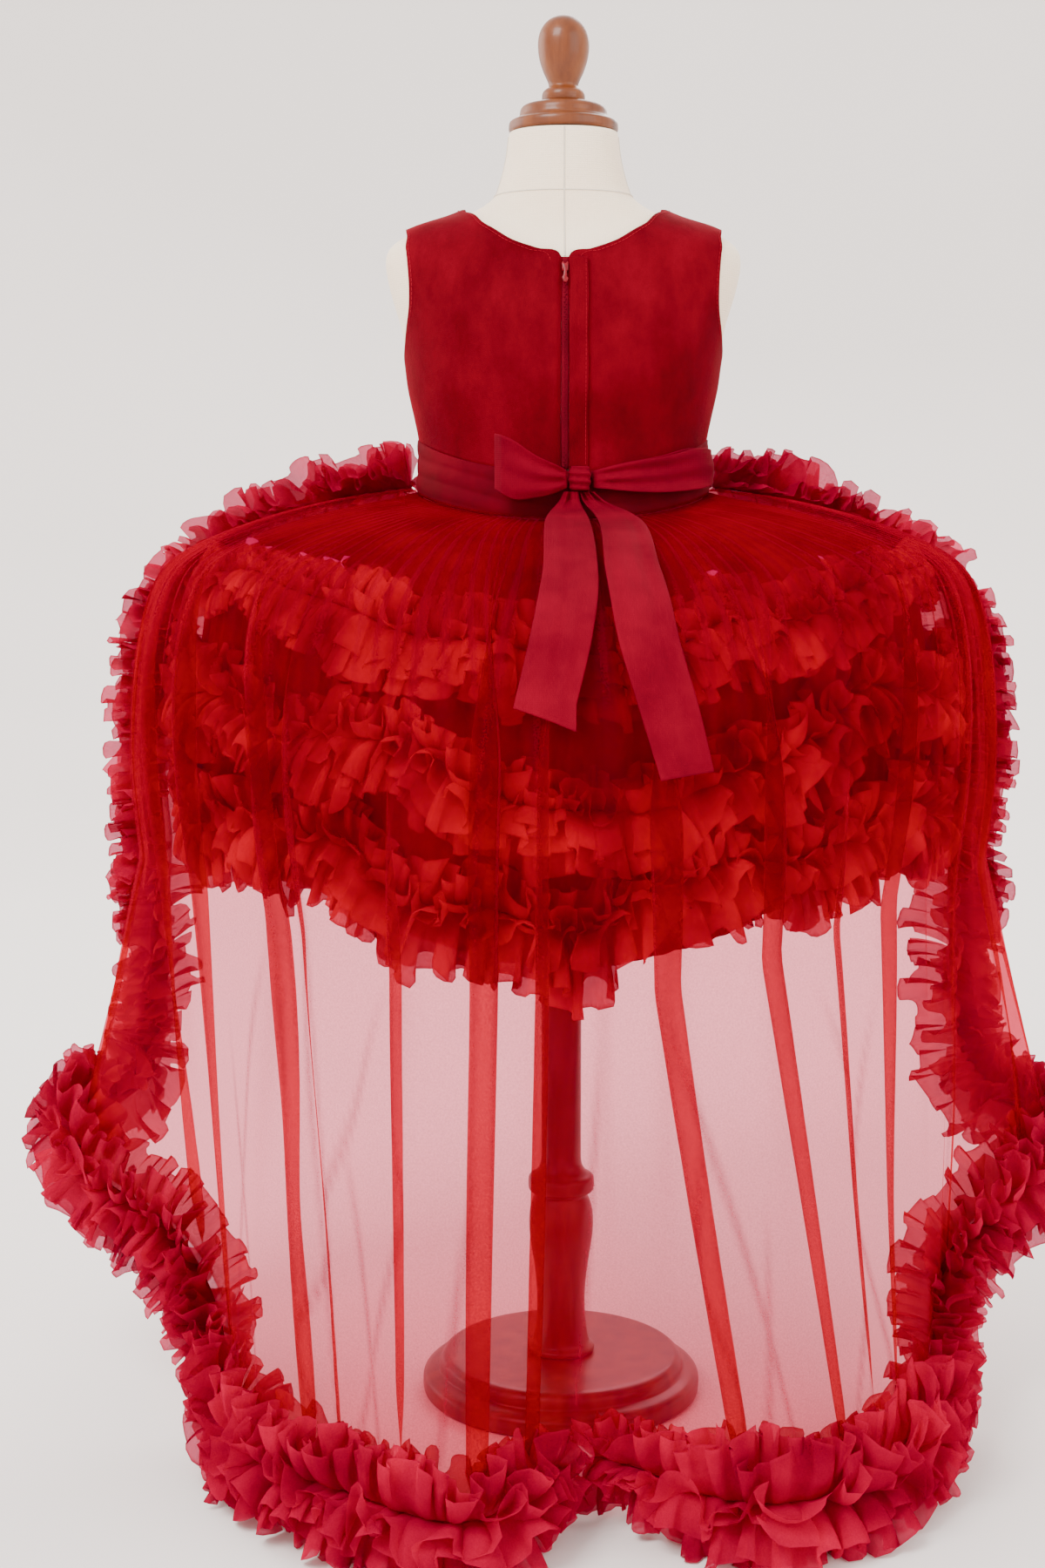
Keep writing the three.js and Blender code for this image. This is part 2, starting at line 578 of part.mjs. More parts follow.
function addUnderskirt() {
  const levels = [UNDERSKIRT.hem, ...DOME.map((row) => row.z).filter((z) => z > 400 && z !== 480)];
  const grid = gridOf(ROUND.dome, levels.length, (i, j) => {
    const turn = (i * 2 * Math.PI) / ROUND.dome;
    const wave = Math.cos(UNDERSKIRT.gathers * turn) * smooth(DOME_TOP - levels[j], 2, 50);
    const point = domePoint(turn, levels[j], CLOTH + UNDERSKIRT.off + UNDERSKIRT.depth * wave);
    point.z -= UNDERSKIRT.sink * smooth(levels[j], 612, DOME_TOP);
    return point;
  });
  add("underskirt", geometryOf(wall(grid, CLOTH, { wrap: true })), "ruffle");
}

function addTiers() {
  for (const tier of TIERS) {
    const across = [
      { z: -TIER_FLAP.down, out: TIER_FLAP.downOut, wave: TIER_FLAP.downWave },
      { z: -TIER_FLAP.down * 0.45, out: TIER_FLAP.downOut * 0.72, wave: TIER_FLAP.downWave * 0.5 },
      { z: 0, out: tier.seat, wave: 0 },
      { z: TIER_FLAP.up, out: TIER_FLAP.upOut, wave: TIER_FLAP.upWave },
    ];
    const columns = tier.waves * SECTIONS_PER_WAVE;
    const grid = gridOf(columns, across.length, (i, j) => {
      const turn = (i * 2 * Math.PI) / columns;
      const wave = Math.cos(tier.waves * turn) * across[j].wave;
      return domePoint(turn, tier.z + across[j].z, across[j].out + CLOTH + wave);
    });
    add(tier.name, geometryOf(wall(grid, CLOTH, { wrap: true })), "ruffle");
  }
}

// The train at a share from its left edge (0) round the back (0.5) to its right edge (1), and at a
// depth from its seam at the waist (0) down to the drop (1) and on to the hem (2).
function trainPoint(share, depth) {
  const turn = lerp(-TRAIN_EDGE_TURN, TRAIN_EDGE_TURN, share);
  const fromEdge = 1 - Math.abs(1 - 2 * share);
  const level = lerp(DOME_TOP, TRAIN_DROP_Z, Math.min(1, depth));
  const lift = along(TRAIN_LIFT, "z", level);
  const out = lerp(lift.edge, lift.back, smooth(fromEdge, 0, 0.5));
  const over = domePoint(turn, level, out);
  over.z += lift.rise;
  if (depth <= 1) return over;
  const hem = along(share < 0.5 ? HEM_LEFT : HEM_RIGHT, "share", fromEdge);
  return over.lerp(vec(hem.x, hem.y, hem.z), depth - 1);
}

function trainNormal(share, depth) {
  const step = 0.004;
  const [left, right] = [clamp(share - step, 0, 1), clamp(share + step, 0, 1)];
  const [low, high] = [clamp(depth + step, 0, 2), clamp(depth - step, 0, 2)];
  const across = trainPoint(right, depth).sub(trainPoint(left, depth));
  const up = trainPoint(share, high).sub(trainPoint(share, low));
  return across.cross(up).normalize();
}

function foldAt(share, depth) {
  const fromEdge = 1 - Math.abs(1 - 2 * share);
  const calmEdge = smooth(fromEdge, 0.02, 0.14) * smooth(2 - depth, 0, 0.35);
  const gathers = Math.cos(2 * Math.PI * WAIST_GATHERS.count * share) * WAIST_GATHERS.depth;
  const gathering = gathers * smooth(depth, 0.02, 0.3) * (1 - smooth(depth, 0.9, 1.6));
  let folds = 0;
  for (const fold of FOLDS) folds += fold.depth * Math.exp(-(((share - fold.share) / fold.width) ** 2));
  return (gathering + folds * smooth(depth, 0.85, 1.5)) * calmEdge;
}

function trainDepths() {
  const over = TRAIN_DOME_Z.map((z) => (DOME_TOP - z) / (DOME_TOP - TRAIN_DROP_Z));
  return [...over, ...TRAIN_DROP_SHARES.map((share) => 1 + share)].reverse();
}

function addTrain() {
  const depths = trainDepths();
  const grid = gridOf(ROUND.train + 1, depths.length, (i, j) => {
    const share = i / ROUND.train;
    const point = trainPoint(share, depths[j]);
    const outwards = vec(point.x, point.y, 0).normalize();
    return point.addScaledVector(outwards, foldAt(share, depths[j]));
  });
  add("train", geometryOf(wall(grid, TRAIN_THICKNESS)), "train");
}

// The train's free edge on one side (-1 left, 1 right): down its front, then along the hem.
function trimPath(side) {
  const shareAt = (fromEdge) => (side < 0 ? fromEdge / 2 : 1 - fromEdge / 2);
  const places = trainDepths().reverse().map((depth) => [0, Math.max(depth, TRIM.start)]);
  for (const row of HEM_LEFT.slice(1)) places.push([row.share, 2]);
  const points = places.map(([fromEdge, depth]) => trainPoint(shareAt(fromEdge), depth));
  const normals = places.map(([fromEdge, depth]) => trainNormal(shareAt(fromEdge), depth));
  return { path: new THREE.CatmullRomCurve3(points, false, "centripetal"), normals };
}

// Double edged ruche along the train's edge: two flaps rise from a gathered line in its middle.
function trimGrid(side, { from, to, share, phase, seat }) {
  const waves = Math.round(TRIM.waves * share);
  const { path, normals } = trimPath(side);
  const columns = waves * SECTIONS_PER_WAVE + 2;
  return gridOf(columns, TRIM_SECTION.length, (i, j) => {
    const at = lerp(from, to, i / (columns - 1));
    const point = path.getPointAt(at);
    const ahead = path.getTangentAt(at);
    if (side > 0) ahead.negate();
    const place = path.getUtoTmapping(at) * (normals.length - 1);
    const before = Math.min(normals.length - 2, Math.floor(place));
    const normal = normals[before].clone().lerp(normals[before + 1], place - before);
    normal.z *= 1 - smooth(150 - point.z, 0, 90);
    normal.addScaledVector(ahead, -normal.dot(ahead)).normalize();
    const outwardEdge = ahead.clone().cross(normal).multiplyScalar(side < 0 ? 1 : -1);
    const small = lerp(0.3, 1, smooth(at, 0, 0.13)) * lerp(1, 0.42, smooth(at, 0.9, 0.965));
    const wave = Math.cos(((i + phase) * 2 * Math.PI) / SECTIONS_PER_WAVE);
    const row = TRIM_SECTION[j];
    const angle = THREE.MathUtils.degToRad(row.open + TRIM.swing * wave * (row.share > 0.9 ? 1 : 0.4));
    const reach = TRIM.flap * small * row.share;
    point.addScaledVector(normal, seat + reach * Math.sin(angle));
    return point.addScaledVector(outwardEdge, row.flap * reach * Math.cos(angle));
  });
}

function addTrims() {
  for (const side of [-1, 1]) {
    const sideName = side < 0 ? "left" : "right";
    const { path } = trimPath(side);
    let corner = 0;
    while (path.getPointAt(corner).z > TRIM.splitZ) corner += 0.005;
    const partGap = (1.6 * SEAM_GAP) / path.getLength();
    const runs = [
      { name: "front", from: 0, to: corner - partGap, share: corner, phase: 0, seat: TRIM_SEAT.front },
      {
        name: "hem",
        from: corner + partGap,
        to: TRIM.end,
        share: 1 - corner,
        phase: 1,
        seat: TRIM_SEAT[`${sideName}_hem`],
      },
    ];
    for (const run of runs) {
      const grid = trimGrid(side, run);
      const faces = wall(side < 0 ? grid : [...grid].reverse(), TRIM.thickness);
      add(`trim_${sideName}_${run.name}`, geometryOf(faces), "ruffle");
    }
  }
}

addStand();
addTorso();
addBodice();
addZip();
addSash();
addBow();
addUnderskirt();
addTiers();
addTrain();
addTrims();

export default dress;
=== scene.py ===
"""Looks of a girl's high-low party dress on a limbless dress form, seen from its back."""

import math

import bpy
import numpy as np
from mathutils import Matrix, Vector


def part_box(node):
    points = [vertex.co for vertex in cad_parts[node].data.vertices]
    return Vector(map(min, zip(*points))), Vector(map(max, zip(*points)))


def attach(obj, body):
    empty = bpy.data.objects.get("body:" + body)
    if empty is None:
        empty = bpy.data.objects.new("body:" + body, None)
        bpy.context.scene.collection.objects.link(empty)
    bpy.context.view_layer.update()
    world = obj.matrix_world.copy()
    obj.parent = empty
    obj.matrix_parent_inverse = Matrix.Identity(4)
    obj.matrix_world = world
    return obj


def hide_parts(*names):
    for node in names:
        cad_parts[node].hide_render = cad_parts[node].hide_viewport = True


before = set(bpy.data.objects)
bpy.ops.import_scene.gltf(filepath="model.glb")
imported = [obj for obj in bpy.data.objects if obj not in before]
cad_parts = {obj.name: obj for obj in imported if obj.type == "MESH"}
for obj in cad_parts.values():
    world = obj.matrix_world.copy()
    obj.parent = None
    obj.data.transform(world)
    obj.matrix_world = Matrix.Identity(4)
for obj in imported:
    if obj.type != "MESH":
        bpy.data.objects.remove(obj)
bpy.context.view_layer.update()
BODY_NAME = "dress_and_form"
PULL_BODY = "zip_pull"
MM = 0.001

# Camera, in metres: a 50 mm lens on a 36 mm tall picture, tipped down a little
CAMERA = {"place": (-0.0276, -1.510, 0.614), "lens": 50.0, "sensor": 36.0, "down": 6.7}


def add_camera():
    data = bpy.data.cameras.new("camera")
    data.lens = CAMERA["lens"]
    data.sensor_fit = "VERTICAL"
    data.sensor_height = CAMERA["sensor"]
    camera = bpy.data.objects.new("camera", data)
    camera.location = CAMERA["place"]
    camera.rotation_euler = (math.radians(90 - CAMERA["down"]), 0, 0)
    bpy.context.scene.collection.objects.link(camera)
    bpy.context.scene.camera = camera


add_camera()

# Sizes in millimetres, as in the solids. The first column of a table is its rising key.
def table(names, rows):
    return dict(zip(names.split(), np.array(rows, float).T))


CLOTH = 1.5
FORM_CLEARANCE = 0.9
FORM_INSET = 0.9
BODICE_OUT = FORM_CLEARANCE + CLOTH
SEAM_GAP = 0.5
BODY_SQUARENESS = 2.2
SASH_OUT = 4.6
SASH_TOP = {"side": 674, "back": 651, "front": 668}
SASH_BOTTOM = {"side": 641, "back": 622, "front": 637}
BODY = table(
    "z width back front",
    [
        (500, 106, 84, 80), (560, 106, 83, 79), (610, 100, 75, 76), (652, 95, 69, 73),
        (674, 96.5, 70, 75), (706, 103.5, 74, 80), (728, 106.5, 75.5, 81), (750, 111, 74.5, 78),
        (778, 119, 68, 69), (796, 121, 61, 58), (805, 116, 55, 50), (812, 103, 50, 44),
        (820, 78, 45, 41), (827, 61, 42, 39), (835, 49, 40, 39), (842, 45, 38.5, 38.5),
        (860, 40, 37.5, 37.5), (878, 37.5, 36.5, 36.5),
    ],
)
# Half of a bodice panel: its inner edge and its outer edge, from the waist up. FULL means the side seam.
FULL = 999
BACK_EDGES = [
    (2.6, 651, FULL, 674), (2.6, 686, FULL, 697), (2.6, 722, FULL, 719), (2.6, 758, 107, 737),
    (2.8, 790, 104, 754), (18, 795, 103, 768), (33, 800.5, 103.5, 782), (50, 811, 105, 797),
    (61, 821, 105, 808.5), (FULL, 828, FULL, 814),
]
FRONT_EDGES = [
    (0, 668, FULL, 674), (0, 695, FULL, 697), (0, 725, FULL, 719), (0, 752, 108, 737),
    (0, 774, 103, 752), (20, 777, 100, 768), (38, 786, 101, 782), (52, 800, 103, 797),
    (60, 815, 105, 806), (64, 822.5, 105.4, 811), (FULL, 828, FULL, 814),
]
DOME_TOP = 641
DOME_LEVEL = 560
UNDERSKIRT_HEM = 374
# The skirt hangs lower at the middle of the back, and reaches its side height at this turn.
SKIRT_DROP = {"back": 20, "side": 28, "turn": math.radians(55)}
# Heights over which that drop fades out, and the height up to which the dome is round
DROP_FADE = (540, 636)
DOME_ROUND = 600
DOME = table(
    "z width back front",
    [
        (350, 238, 233, 233), (385, 242, 238, 238), (430, 246, 242, 242), (480, 246, 242, 242),
        (525, 242, 237, 237), (562, 232, 224, 224), (590, 216, 204, 204), (612, 189, 174, 174),
        (628, 151, 132, 134), (637, 112, 91, 93), (641, 97.5, 74.5, 76),
    ],
)
TRAIN_LIFT = table(
    "z back edge rise",
    [
        (350, 38, 58, 0), (430, 38, 56, 0), (560, 36, 42, 0), (590, 29, 30, 2), (612, 19, 19, 4),
        (628, 10, 10, 4.5), (637, 5, 5, 3), (641, 3.2, 3.2, 0),
    ],
)
TRAIN_EDGE_TURN = math.radians(106)
TRAIN_DROP_Z = 362
# The train's hem on the left and on the right, from its free edge (share 0) to the middle of the back
HEM = table(
    "share left_x left_y left_z right_x right_y right_z",
    [
        (0, -297, 112, 246, 297, 112, 246), (0.05, -302, 102, 212, 304, 102, 210),
        (0.1, -315, 80, 197, 320, 80, 192), (0.16, -336, 46, 197, 342, 46, 188),
        (0.22, -346, 12, 188, 352, 12, 178), (0.28, -326, -16, 164, 330, -14, 158),
        (0.34, -274, -38, 136, 288, -36, 136), (0.4, -238, -64, 98, 256, -58, 102),
        (0.47, -221, -106, 60, 246, -92, 56), (0.55, -207, -156, 39, 234, -142, 39),
        (0.65, -172, -216, 38, 206, -198, 38), (0.75, -128, -259, 38, 169, -241, 38),
        (0.84, -84, -283, 38, 124, -262, 38), (0.91, -46, -277, 38, 78, -247, 38),
        (0.96, -22, -236, 38, 34, -210, 38), (1, 0, -186, 38, 0, -186, 38),
    ],
)


def along(columns, at):
    """Every other column of a table at these values of its first one, on a smooth curve."""
    names = list(columns)
    keys = columns[names[0]]
    at = np.asarray(at, float)
    last = len(keys) - 1
    low = np.clip(np.searchsorted(keys, at, side="right") - 1, 0, last - 1)
    span = keys[low + 1] - keys[low]
    t = np.clip((at - keys[low]) / span, 0, 1)
    below = np.maximum(np.arange(last + 1) - 1, 0)
    above = np.minimum(np.arange(last + 1) + 1, last)
    result = {}
    for name in names[1:]:
        values = columns[name]
        slopes = (values[above] - values[below]) / (keys[above] - keys[below])
        rise = values[low + 1] - values[low]
        start, end = slopes[low] * span, slopes[low + 1] * span
        bend = t * (1 - t) * ((1 - t) * (start - rise) + t * (rise - end))
        result[name] = values[low] + t * rise + bend
    return result


def lerp(low, high, share):
    return low + (high - low) * share


def smooth(value, low, high):
    t = np.clip((np.asarray(value, float) - low) / (high - low), 0, 1)
    return t * t * (3 - 2 * t)


def stack(x, y, z):
    return np.stack(np.broadcast_arrays(x, y, z), axis=-1).astype(float)


def signed_power(value, exponent):
    return np.sign(value) * np.abs(value) ** exponent


def unit(vectors):
    return vectors / np.maximum(np.linalg.norm(vectors, axis=-1, keepdims=True), 1e-9)


def steps(count):
    """Even steps from 0 to 1, as a column."""
    return np.linspace(0, 1, count)[:, None]


def turns(count):
    """Even turns round a circle, as a column."""
    return np.linspace(0, 2 * np.pi, count, endpoint=False)[:, None]


def walked(points):
    """How far along a line each of its points lies."""
    return np.concatenate([[0], np.cumsum(np.linalg.norm(np.diff(points, axis=0), axis=1))])


def picked(points, known, at, period=None):
    """The points of a line at other places along it."""
    return np.stack([np.interp(at, known, points[:, k], period=period) for k in range(3)], axis=-1)


def oval(ring, turn, out, z, squareness=BODY_SQUARENESS):
    """A point of an oval ring. The turn is 0 at the middle of the back and grows towards +X."""
    exponent = 2 / squareness
    depth = np.where(np.cos(turn) > 0, ring["back"], ring["front"])
    x = (ring["width"] + out) * signed_power(np.sin(turn), exponent)
    y = -(depth + out) * signed_power(np.cos(turn), exponent)
    return stack(x, y, z)


def on_body(turn, z, out):
    return oval(along(BODY, z - out), turn, out, z)


def body_turn(x, z, out):
    width = along(BODY, z - out)["width"] + out
    return np.arcsin(np.minimum(1, (np.asarray(x, float) / width) ** (BODY_SQUARENESS / 2)))


def waist_line(line, turn):
    back = np.maximum(0, np.cos(turn)) ** 1.5
    front = np.maximum(0, -np.cos(turn)) ** 1.5
    return line["side"] + (line["back"] - line["side"]) * back + (line["front"] - line["side"]) * front


def on_dome(turn, level, out):
    sag = DOME_TOP + SEAM_GAP - waist_line(SASH_BOTTOM, turn)
    from_back = np.arccos(np.clip(np.cos(turn), -1, 1))
    shift = lerp(-SKIRT_DROP["back"], SKIRT_DROP["side"], smooth(from_back, 0, SKIRT_DROP["turn"]))
    z = level - sag * smooth(level, DOME_LEVEL, DOME_TOP) + shift * (1 - smooth(level, *DROP_FADE))
    squareness = lerp(2, BODY_SQUARENESS, smooth(level, DOME_ROUND, DOME_TOP))
    return oval(along(DOME, level), turn, out, z, squareness)


def level_at(turn, height):
    """The dome's level whose point lies at a height."""
    level = height + 0.0 * turn
    for _ in range(12):
        level = level + height - on_dome(turn, level, 0)[..., 2]
    return np.minimum(level, DOME_TOP)


def on_train(share, depth):
    """The train from its left edge (share 0) to its right edge, and from the waist (depth 0)
    over the dome (1) to its hem (2)."""
    share, depth = np.broadcast_arrays(np.asarray(share, float), np.asarray(depth, float))
    turn = lerp(-TRAIN_EDGE_TURN, TRAIN_EDGE_TURN, share)
    from_edge = 1 - np.abs(1 - 2 * share)
    level = lerp(DOME_TOP, TRAIN_DROP_Z, np.minimum(1, depth))
    lift = along(TRAIN_LIFT, level)
    over = on_dome(turn, level, lerp(lift["edge"], lift["back"], smooth(from_edge, 0, 0.5)))
    over[..., 2] += lift["rise"]
    at = along(HEM, from_edge)
    left, right = (stack(*(at[f"{side}_{axis}"] for axis in "xyz")) for side in ("left", "right"))
    hem = np.where((share < 0.5)[..., None], left, right)
    fall = np.clip(depth - 1, 0, 1)[..., None]
    return over + (hem - over) * fall


def between(values, place):
    """Values at places between them, on a smooth curve, as a column."""
    low = np.minimum(place.astype(int), len(values) - 2)
    t = smooth(place - low, 0, 1)
    return (values[low] * (1 - t) + values[low + 1] * t)[:, None]


def noise_line(count, step, seed, wrap=False):
    """Seeded noise between -1 and 1 over count samples, with a knot about every step samples."""
    knots = max(4, int(count / step) + 1)
    values = np.random.default_rng(seed).uniform(-1, 1, knots)
    if wrap:
        values = np.append(values, values[0])
    return between(values, np.linspace(0, len(values) - 1, count, endpoint=not wrap))


def grid_normals(grid, wrap=False):
    if wrap:
        across = np.roll(grid, -1, axis=0) - np.roll(grid, 1, axis=0)
    else:
        across = np.gradient(grid, axis=0)
    return unit(np.cross(across, np.gradient(grid, axis=1)))


def link_mesh(name, vertices, faces, edge=None):
    mesh = bpy.data.meshes.new(name)
    vertices = np.asarray(vertices, float) * MM
    faces = np.asarray(faces, dtype=np.int32)
    mesh.vertices.add(len(vertices))
    mesh.vertices.foreach_set("co", vertices.ravel())
    mesh.loops.add(faces.size)
    mesh.loops.foreach_set("vertex_index", faces.ravel())
    mesh.polygons.add(len(faces))
    mesh.polygons.foreach_set("loop_start", np.arange(0, faces.size, faces.shape[1], dtype=np.int32))
    mesh.update(calc_edges=True)
    mesh.validate()
    mesh.shade_smooth()
    if edge is not None:
        values = mesh.attributes.new("edge", "FLOAT", "POINT").data
        values.foreach_set("value", np.asarray(edge, np.float32))
    piece = bpy.data.objects.new(name, mesh)
    bpy.context.scene.collection.objects.link(piece)
    return piece


def grid_faces(columns, rows, wrap):
    i, j = np.meshgrid(np.arange(columns if wrap else columns - 1), np.arange(rows - 1), indexing="ij")
    k = (i + 1) % columns
    corners = [i * rows + j, k * rows + j, k * rows + j + 1, i * rows + j + 1]
    return np.stack(corners, axis=-1).reshape(-1, 4)


def sheet_parts(grid, wrap=True):
    """Vertices and faces of a sheet with no thickness."""
    return grid.reshape(-1, 3), grid_faces(*grid.shape[:2], wrap)


def wall_parts(grid, thickness, wrap=False):
    """Vertices and faces of a closed wall whose outer side is the grid."""
    outer, faces = sheet_parts(grid, wrap)
    inner, _ = sheet_parts(grid - grid_normals(grid, wrap) * thickness, wrap)
    columns, rows = grid.shape[:2]
    column = np.arange(columns if wrap else columns - 1)
    low, high = column * rows, (column + 1) % columns * rows
    top = rows - 1
    rims = [(high, low), (low + top, high + top)]
    if not wrap:
        side = np.arange(top)
        last = (columns - 1) * rows + side
        rims += [(side, side + 1), (last + 1, last)]
    count = len(outer)
    sides = [np.stack([a, b, b + count, a + count], axis=-1) for a, b in rims]
    return np.concatenate([outer, inner]), np.concatenate([faces, faces[:, ::-1] + count, *sides])


def wall(name, grid, thickness, wrap=False):
    return link_mesh(name, *wall_parts(grid, thickness, wrap))


def joined(name, parts, edges=None):
    """One mesh from several (vertices, faces) pairs."""
    vertices, faces, count = [], [], 0
    for points, quads in parts:
        vertices.append(points)
        faces.append(quads + count)
        count += len(points)
    edge = None if edges is None else np.concatenate(edges)
    return link_mesh(name, np.concatenate(vertices), np.concatenate(faces), edge)


# Materials


class Nodes:
    """A material's node tree, with short calls for the nodes that this script uses."""

    def __init__(self, name):
        self.material = bpy.data.materials.new(name)
        self.material.use_nodes = True
        self.tree = self.material.node_tree
        self.tree.nodes.clear()
        self.output = self.tree.nodes.new("ShaderNodeOutputMaterial")
        self.coordinates = self.tree.nodes.new("ShaderNodeTexCoord").outputs["Object"]

    def add(self, kind, inputs=(), **settings):
        node = self.tree.nodes.new(kind)
        for key, value in settings.items():
            setattr(node, key, value)
        for key, value in dict(inputs).items():
            if isinstance(value, bpy.types.NodeSocket):
                self.tree.links.new(value, node.inputs[key])
            elif value is not None:
                node.inputs[key].default_value = value
        return node

    def stretched(self, scale):
        return self.add("ShaderNodeMapping", {"Vector": self.coordinates, "Scale": scale}).outputs[0]

    def noise(self, scale, detail=3.0, roughness=0.55, vector=None):
        inputs = {"Vector": vector or self.coordinates, "Scale": scale}
        inputs |= {"Detail": detail, "Roughness": roughness}
        return self.add("ShaderNodeTexNoise", inputs).outputs["Fac"]

    def ramp(self, value, stops):
        node = self.add("ShaderNodeValToRGB", {"Fac": value})
        elements = node.color_ramp.elements
        while len(elements) < len(stops):
            elements.new(0.5)
        for element, (place, colour) in zip(elements, stops):
            element.position = place
            element.color = (*colour, 1.0)
        return node.outputs["Color"]

    def mix(self, share, first, second):
        inputs = {0: share, 6: first, 7: (*second, 1.0)}
        return self.add("ShaderNodeMix", inputs, data_type="RGBA").outputs[2]

    def maths(self, operation, first, second):
        return self.add("ShaderNodeMath", {0: first, 1: second}, operation=operation).outputs[0]

    def times(self, first, second):
        return self.maths("MULTIPLY", first, second)

    def plus(self, first, second):
        return self.maths("ADD", first, second)

    def bump(self, height, strength, distance, normal=None):
        inputs = {"Height": height, "Strength": strength, "Distance": distance, "Normal": normal}
        return self.add("ShaderNodeBump", inputs).outputs[0]

    def finish(self, shader):
        self.tree.links.new(shader, self.output.inputs["Surface"])
        return self.material


def principled(nodes, colour, roughness, normal=None, **constants):
    inputs = {"Base Color": colour, "Roughness": roughness, "Normal": normal}
    inputs |= {name.replace("_", " "): value for name, value in constants.items()}
    return nodes.add("ShaderNodeBsdfPrincipled", inputs).outputs[0]


def wood_material():
    nodes = Nodes("turned_wood")
    grain = nodes.noise(9.0, 5.0, 0.6, nodes.stretched((7.0, 7.0, 0.7)))
    fine = nodes.noise(60.0, 4.0, 0.7, nodes.stretched((14.0, 14.0, 0.5)))
    dark, middle, light = (0.05, 0.0105, 0.002), (0.145, 0.034, 0.006), (0.25, 0.072, 0.014)
    colour = nodes.ramp(grain, [(0.25, dark), (0.52, middle), (0.8, light)])
    colour = nodes.mix(nodes.times(fine, 0.35), colour, (0.035, 0.009, 0.003))
    rough = nodes.plus(nodes.times(fine, 0.14), 0.3)
    normal = nodes.bump(fine, 0.12, 0.0004)
    coat = {"Coat_Weight": 0.16, "Coat_Roughness": 0.12}
    return nodes.finish(principled(nodes, colour, rough, normal, **coat, Specular_IOR_Level=0.25))


def weave_height(nodes, scale):
    """Crossed threads, as a height. The scale is threads per metre."""
    waves = []
    for direction in ("X", "Z"):
        inputs = {"Vector": nodes.coordinates, "Scale": scale, "Distortion": 0.6, "Detail": 1.0}
        waves.append(nodes.add("ShaderNodeTexWave", inputs, bands_direction=direction).outputs["Fac"])
    return nodes.times(waves[0], waves[1])


def linen_material():
    nodes = Nodes("form_linen")
    weave = weave_height(nodes, 220.0)
    blotch = nodes.noise(16.0, 4.0)
    slub = nodes.noise(180.0, 3.0, 0.6, nodes.stretched((1.0, 1.0, 6.0)))
    colour = nodes.ramp(blotch, [(0.3, (0.92, 0.74, 0.54)), (0.7, (0.97, 0.83, 0.64))])
    colour = nodes.mix(nodes.times(slub, 0.22), colour, (0.60, 0.52, 0.42))
    height = nodes.plus(weave, nodes.times(slub, 0.8))
    return nodes.finish(principled(nodes, colour, 0.9, nodes.bump(height, 0.5, 0.0005), Sheen_Weight=0.15))


def velvet_material():
    nodes = Nodes("velvet")
    nap = nodes.noise(26.0, 5.0, 0.62, nodes.stretched((1.0, 1.0, 0.6)))
    pile = nodes.noise(1500.0, 2.0, 0.7)
    crush = nodes.noise(110.0, 4.0, 0.65)
    dark, middle, light = (0.075, 0.0001, 0.003), (0.13, 0.0002, 0.006), (0.21, 0.0005, 0.010)
    colour = nodes.ramp(nap, [(0.28, dark), (0.52, middle), (0.78, light)])
    colour = nodes.mix(nodes.times(pile, 0.5), colour, (0.05, 0.0001, 0.002))
    height = nodes.plus(nodes.times(pile, 0.5), crush)
    normal = nodes.bump(height, 0.55, 0.0008)
    sheen = {"Sheen_Weight": 0.22, "Sheen_Roughness": 0.35, "Sheen_Tint": (0.8, 0.01, 0.04, 1.0)}
    return nodes.finish(principled(nodes, colour, 0.82, normal, **sheen, Specular_IOR_Level=0.03))


def cloth_material(name, dark, light, rough, thread, sheen):
    nodes = Nodes(name)
    patch = nodes.noise(30.0, 4.0)
    weave = weave_height(nodes, thread)
    crease = nodes.noise(90.0, 4.0, 0.6, nodes.stretched((1.0, 1.0, 2.6)))
    colour = nodes.ramp(patch, [(0.3, dark), (0.72, light)])
    colour = nodes.mix(nodes.times(weave, 0.3), colour, dark)
    height = nodes.plus(nodes.times(weave, 0.4), crease)
    normal = nodes.bump(height, 0.4, 0.0006)
    sheen = {"Sheen_Weight": sheen, "Sheen_Roughness": 0.4, "Sheen_Tint": (0.8, 0.03, 0.06, 1.0)}
    return nodes.finish(principled(nodes, colour, rough, normal, **sheen, Specular_IOR_Level=0.04))


